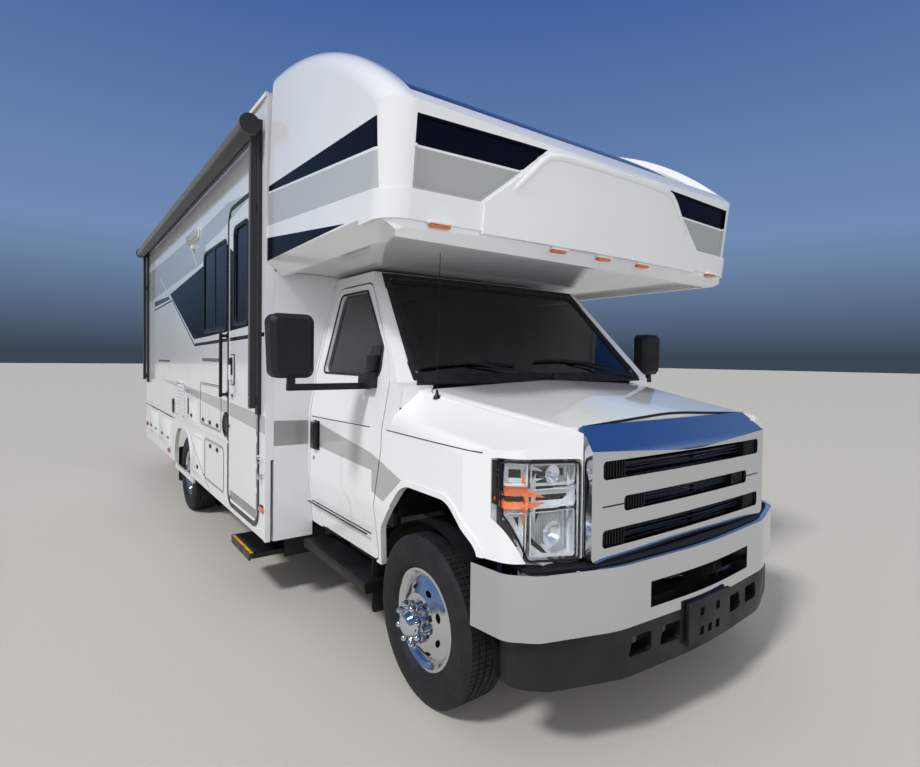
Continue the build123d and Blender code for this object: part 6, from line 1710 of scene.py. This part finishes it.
# %% Running board ribs and step mat
rib_pitch = 0.026
low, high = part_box("running_boards")
for side, name in sides:
    edge_x = max(abs(low.x), abs(high.x))
    ribs = [soft_box((side * (edge_x - 0.030 - rib_pitch * i), low.y + 0.020, high.z - 0.001),
                     (side * (edge_x - 0.018 - rib_pitch * i), high.y - 0.020, high.z + 0.003), 0.0012, 1)
            for i in range(7)]
    settle(merged(ribs), f"running_board_grip_{name}", seal_rubber)
low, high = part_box("entry_step")
mat_line = rect(low.x + 0.030, -1.255, low.y + 0.03, high.y - 0.03)
tread = plate(mat_line, "Z", high.z - 0.002, high.z + 0.0025, 0.010)
settle(tread, "entry_step_grip", grip_tread, "entry_step")
yellow, tree, shader = new_finish("yellow_safety_film", "#d9a514", 0.45)
coloured(tree, shader, mixed(tree, blotches(tree, 60.0), "#dba817", "#b98a0e"))
edge_line = rect(low.x + 0.006, low.x + 0.026, low.y + 0.02, high.y - 0.02)
strip = plate(edge_line, "Z", high.z - 0.002, high.z + 0.002, 0.004, 0.0005)
settle(strip, "entry_step_edge_line", yellow, "entry_step")
print("step's top at Z", round(high.z, 3))

# %% [markdown]
# The rear wall carries a high stop lamp, two clearance lamps, round reflectors, reversing lamps in white
# below the red ones, and a blank plate in its holder. The red lenses of the solid get a black gasket frame and
# a divider.

# %% Rear lamps and plate holder
wall_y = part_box("rear_wall")[1].y
lamp_face_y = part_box("tail_lamps")[1].y
disc_section = [(-0.001, 0.0), (-0.001, 0.040), (0.006, 0.040), (0.009, 0.032), (0.009, 0.0)]
stop_lamp = soft_box((-0.190, wall_y - 0.001, 2.930), (0.190, wall_y + 0.022, 2.966), 0.008)
settle(stop_lamp, "high_stop_lamp", red_lens)
for side, name in sides:
    gasket = frame_of(rect(side * 1.008, side * 1.192, 0.886, 1.264), "Y", wall_y - 0.001, wall_y + 0.010,
                      0.014, 0.020, 0.003)
    settle(gasket, f"tail_lamp_gasket_{name}", smooth_black)
    reverse = soft_box((side * 1.030, lamp_face_y - 0.006, 0.915),
                       (side * 1.170, lamp_face_y + 0.004, 0.985), 0.006)
    settle(reverse, f"reversing_lamp_{name}", optic_plastic)
    divider = soft_box((side * 1.022, lamp_face_y - 0.006, 1.070),
                       (side * 1.178, lamp_face_y + 0.002, 1.078), 0.002)
    settle(divider, f"tail_lamp_divider_{name}", smooth_black)
    corner_lamp = soft_box((side * 1.060, wall_y - 0.001, 2.950),
                           (side * 1.160, wall_y + 0.020, 2.982), 0.008)
    settle(corner_lamp, f"rear_clearance_lamp_{name}", red_lens)
    disc = turned(disc_section, (side * 0.900, wall_y, 0.760), "Y", 28)
    settle(disc, f"rear_reflector_{name}", red_lens)
holder_line = rect(-0.750, -0.430, 0.860, 1.030)
holder = merged([frame_of(holder_line, "Y", wall_y - 0.001, wall_y + 0.014, 0.012, 0.014),
                 soft_box((-0.640, wall_y - 0.001, 1.030), (-0.540, wall_y + 0.030, 1.056), 0.006)])
settle(holder, "plate_holder", smooth_black)
blank = plate(rect(-0.738, -0.442, 0.872, 1.018), "Y", wall_y - 0.001, wall_y + 0.006, 0.010)
settle(blank, "blank_plate", mill_metal)
print("rear pieces: 13")

# %% [markdown]
# Two high-backed seats stand in the cab and show through the windshield. The solid model has them as plain
# blocks, which cushions replace. A cushion is a closed cube, subdivided and softened by a Subdivision Surface,
# and then shaped by moving its points: the face is crowned, the sides pull in between the corners, and two
# sewn channels sink into it. That keeps the seam lines sharp where a cloth simulation would smear them.

# %% Cushion helper
channel_place, channel_width, channel_depth = 0.52, 0.045, 0.010


def cushion(name, middle, size, lean, crown, face_axis):
    """Crowned cushion with two sewn channels on the face that looks along an axis."""
    bpy.ops.object.select_all(action="DESELECT")
    bpy.ops.mesh.primitive_cube_add(size=1.0, scale=size)
    pad = bpy.context.object
    bpy.ops.object.transform_apply(location=True, rotation=True, scale=True)
    edit(pad)
    bpy.ops.mesh.subdivide(number_cuts=7)
    done()
    applied(pad, "SUBSURF", levels=2, render_levels=2)
    half = Vector(size) / 2
    face, other = (2, 1) if face_axis == "Z" else (1, 2)
    toward = 1.0 if face_axis == "Z" else -1.0
    for vertex in pad.data.vertices:
        a, b = vertex.co.x / half.x, vertex.co[other] / half[other]
        c = toward * vertex.co[face] / half[face]
        swell = max(0.0, 1.0 - a * a) * max(0.0, 1.0 - b * b)
        channel = math.exp(-((abs(a) - channel_place) / channel_width) ** 2) * max(0.0, 1.0 - b ** 4)
        if c > 0.2:
            vertex.co[face] += toward * (crown * swell - channel_depth * channel)
        elif c < -0.2:
            vertex.co[face] -= toward * crown * 0.2 * swell
        vertex.co.x *= 1.0 - 0.035 * max(0.0, 1.0 - b * b)
        vertex.co[other] *= 1.0 - 0.025 * max(0.0, 1.0 - a * a)
    pad.data.transform(Matrix.Translation(middle) @ Matrix.Rotation(math.radians(lean), 4, "X"))
    settle(pad, name, seat_cloth, angle=60.0)
    return pad


print("cushion helper ready")

# %% [markdown]
# A seat has a cushion, a leaning back, a head restraint on two bright posts, a moulded plinth and an arm rest
# on its inner side. The right cushion stands for all of it in place of the solid seats.

# %% Two seats
seat_low, seat_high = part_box("cab_seats")
for side, name in sides:
    x = side * 0.590
    base_pad = cushion(f"seat_cushion_{name}", (x, back(0.998), 1.006), (0.478, 0.440, 0.110), 3.0, 0.014, "Z")
    cushion(f"seat_back_{name}", (x, back(1.212), 1.318), (0.470, 0.092, 0.530), -11.0, 0.014, "Y")
    cushion(f"head_restraint_{name}", (x, back(1.272), 1.668), (0.262, 0.078, 0.150), -6.0, 0.008, "Y")
    posts = merged([tube([(post_x, back(1.262), 1.545), (post_x, back(1.272), 1.640)], 0.006)
                    for post_x in (x - 0.07, x + 0.07)])
    settle(posts, f"head_restraint_posts_{name}", chrome)
    plinth = merged([soft_box((x - 0.190, back(0.832), seat_low.z), (x + 0.190, back(1.218), 0.940), 0.012),
                     soft_box((x + side * 0.190, back(0.850), 0.880),
                              (x + side * 0.238, back(1.180), 1.000), 0.012)])
    settle(plinth, f"seat_plinth_{name}", moulded_black)
    if side < 0:
        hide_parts("cab_seats")
    rest = soft_box((x - side * 0.245, back(0.960), 1.165), (x - side * 0.200, back(1.230), 1.205), 0.014)
    settle(rest, f"arm_rest_{name}", dash_skin)
print("seats from Z", round(seat_low.z, 3), "to", round(seat_high.z, 3))

# %% [markdown]
# The dashboard is a grained shell. Round air outlets and a screen are what one sees of it through the glass,
# so those are laid on it. Each outlet is a turned ring with three slats.

# %% Dashboard outlets and screen
dash_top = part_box("dashboard")[1].z
outlet_section = [(-0.004, 0.024), (-0.004, 0.038), (0.007, 0.036), (0.007, 0.026)]
outlet_places = (-0.78, -0.18, 0.18, 0.80)
outlets = []
for x in outlet_places:
    spot = skin("dashboard", (x, 3.0, dash_top - 0.14), (0, -1, 0))
    outlets.append(turned(outlet_section, spot, "Y", 24))
    outlets += [soft_box((x - 0.026, spot.y - 0.003, spot.z + z),
                         (x + 0.026, spot.y + 0.005, spot.z + z + 0.004), 0.001, 1)
                for z in (-0.014, -0.002, 0.010)]
settle(merged(outlets), "dash_outlets", smooth_black)
spot = skin("dashboard", (0.0, 3.0, dash_top - 0.20), (0, -1, 0))
screen = plate(rect(-0.105, 0.105, spot.z - 0.06, spot.z + 0.03), "Y", spot.y - 0.002, spot.y + 0.004, 0.010)
settle(screen, "dash_screen", privacy_glass)
print("dash outlets:", len(outlet_places))

# %% [markdown]
# The roof's membrane itself is only a finish, but its lap sealant shows as pale beads round every unit. The
# beads are closed tubes that rays lay on the roof. A round aerial dome stands between the units, and the
# cooler's cover gets its intake slots as black boxes, painted shade of the openings.

# %% Roof beads, dome and slots
cover_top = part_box("roof_units")[1].z
dome_section = [(0.0, 0.0), (0.0, 0.150), (0.030, 0.152), (0.070, 0.140), (0.110, 0.105), (0.135, 0.050),
                (0.140, 0.0)]


def on_roof(x, y):
    """Place on the roof, found from above."""
    return skin("roof", (x, y, ray_start_top), (0, 0, -1))


# Black boxes stand for the slots' openings: painted shade.
slots = [soft_box((side * 0.18, back(4.32 + 0.06 * i), cover_top - 0.004),
                  (side * 0.02, back(4.345 + 0.06 * i), cover_top - 0.0005), 0.001, 1)
         for i in range(6) for side in (-1, 1)]
beads = []
for station, half_long, half_wide in ((2.600, 0.200, 0.200), (5.900, 0.200, 0.200), (4.650, 0.470, 0.390)):
    outline = rounded(rect(-half_wide, half_wide, back(station - half_long), back(station + half_long)),
                      0.05, 3)
    beads.append(tube([on_roof(x, y) + Vector((0, 0, 0.002)) for x, y in outline], 0.009, closed=True))
settle(merged(beads), "roof_sealant_beads", white_plastic)
dome_foot = on_roof(0.55, back(3.45)) - Vector((0, 0, 0.004))
settle(turned(dome_section, dome_foot, "Z", 40), "aerial_dome", white_plastic)
settle(merged(slots), "cooler_slots", smooth_black)
print("roof at Z", round(on_roof(0.45, back(2.6)).z, 3), "cooler's top", round(cover_top, 3))
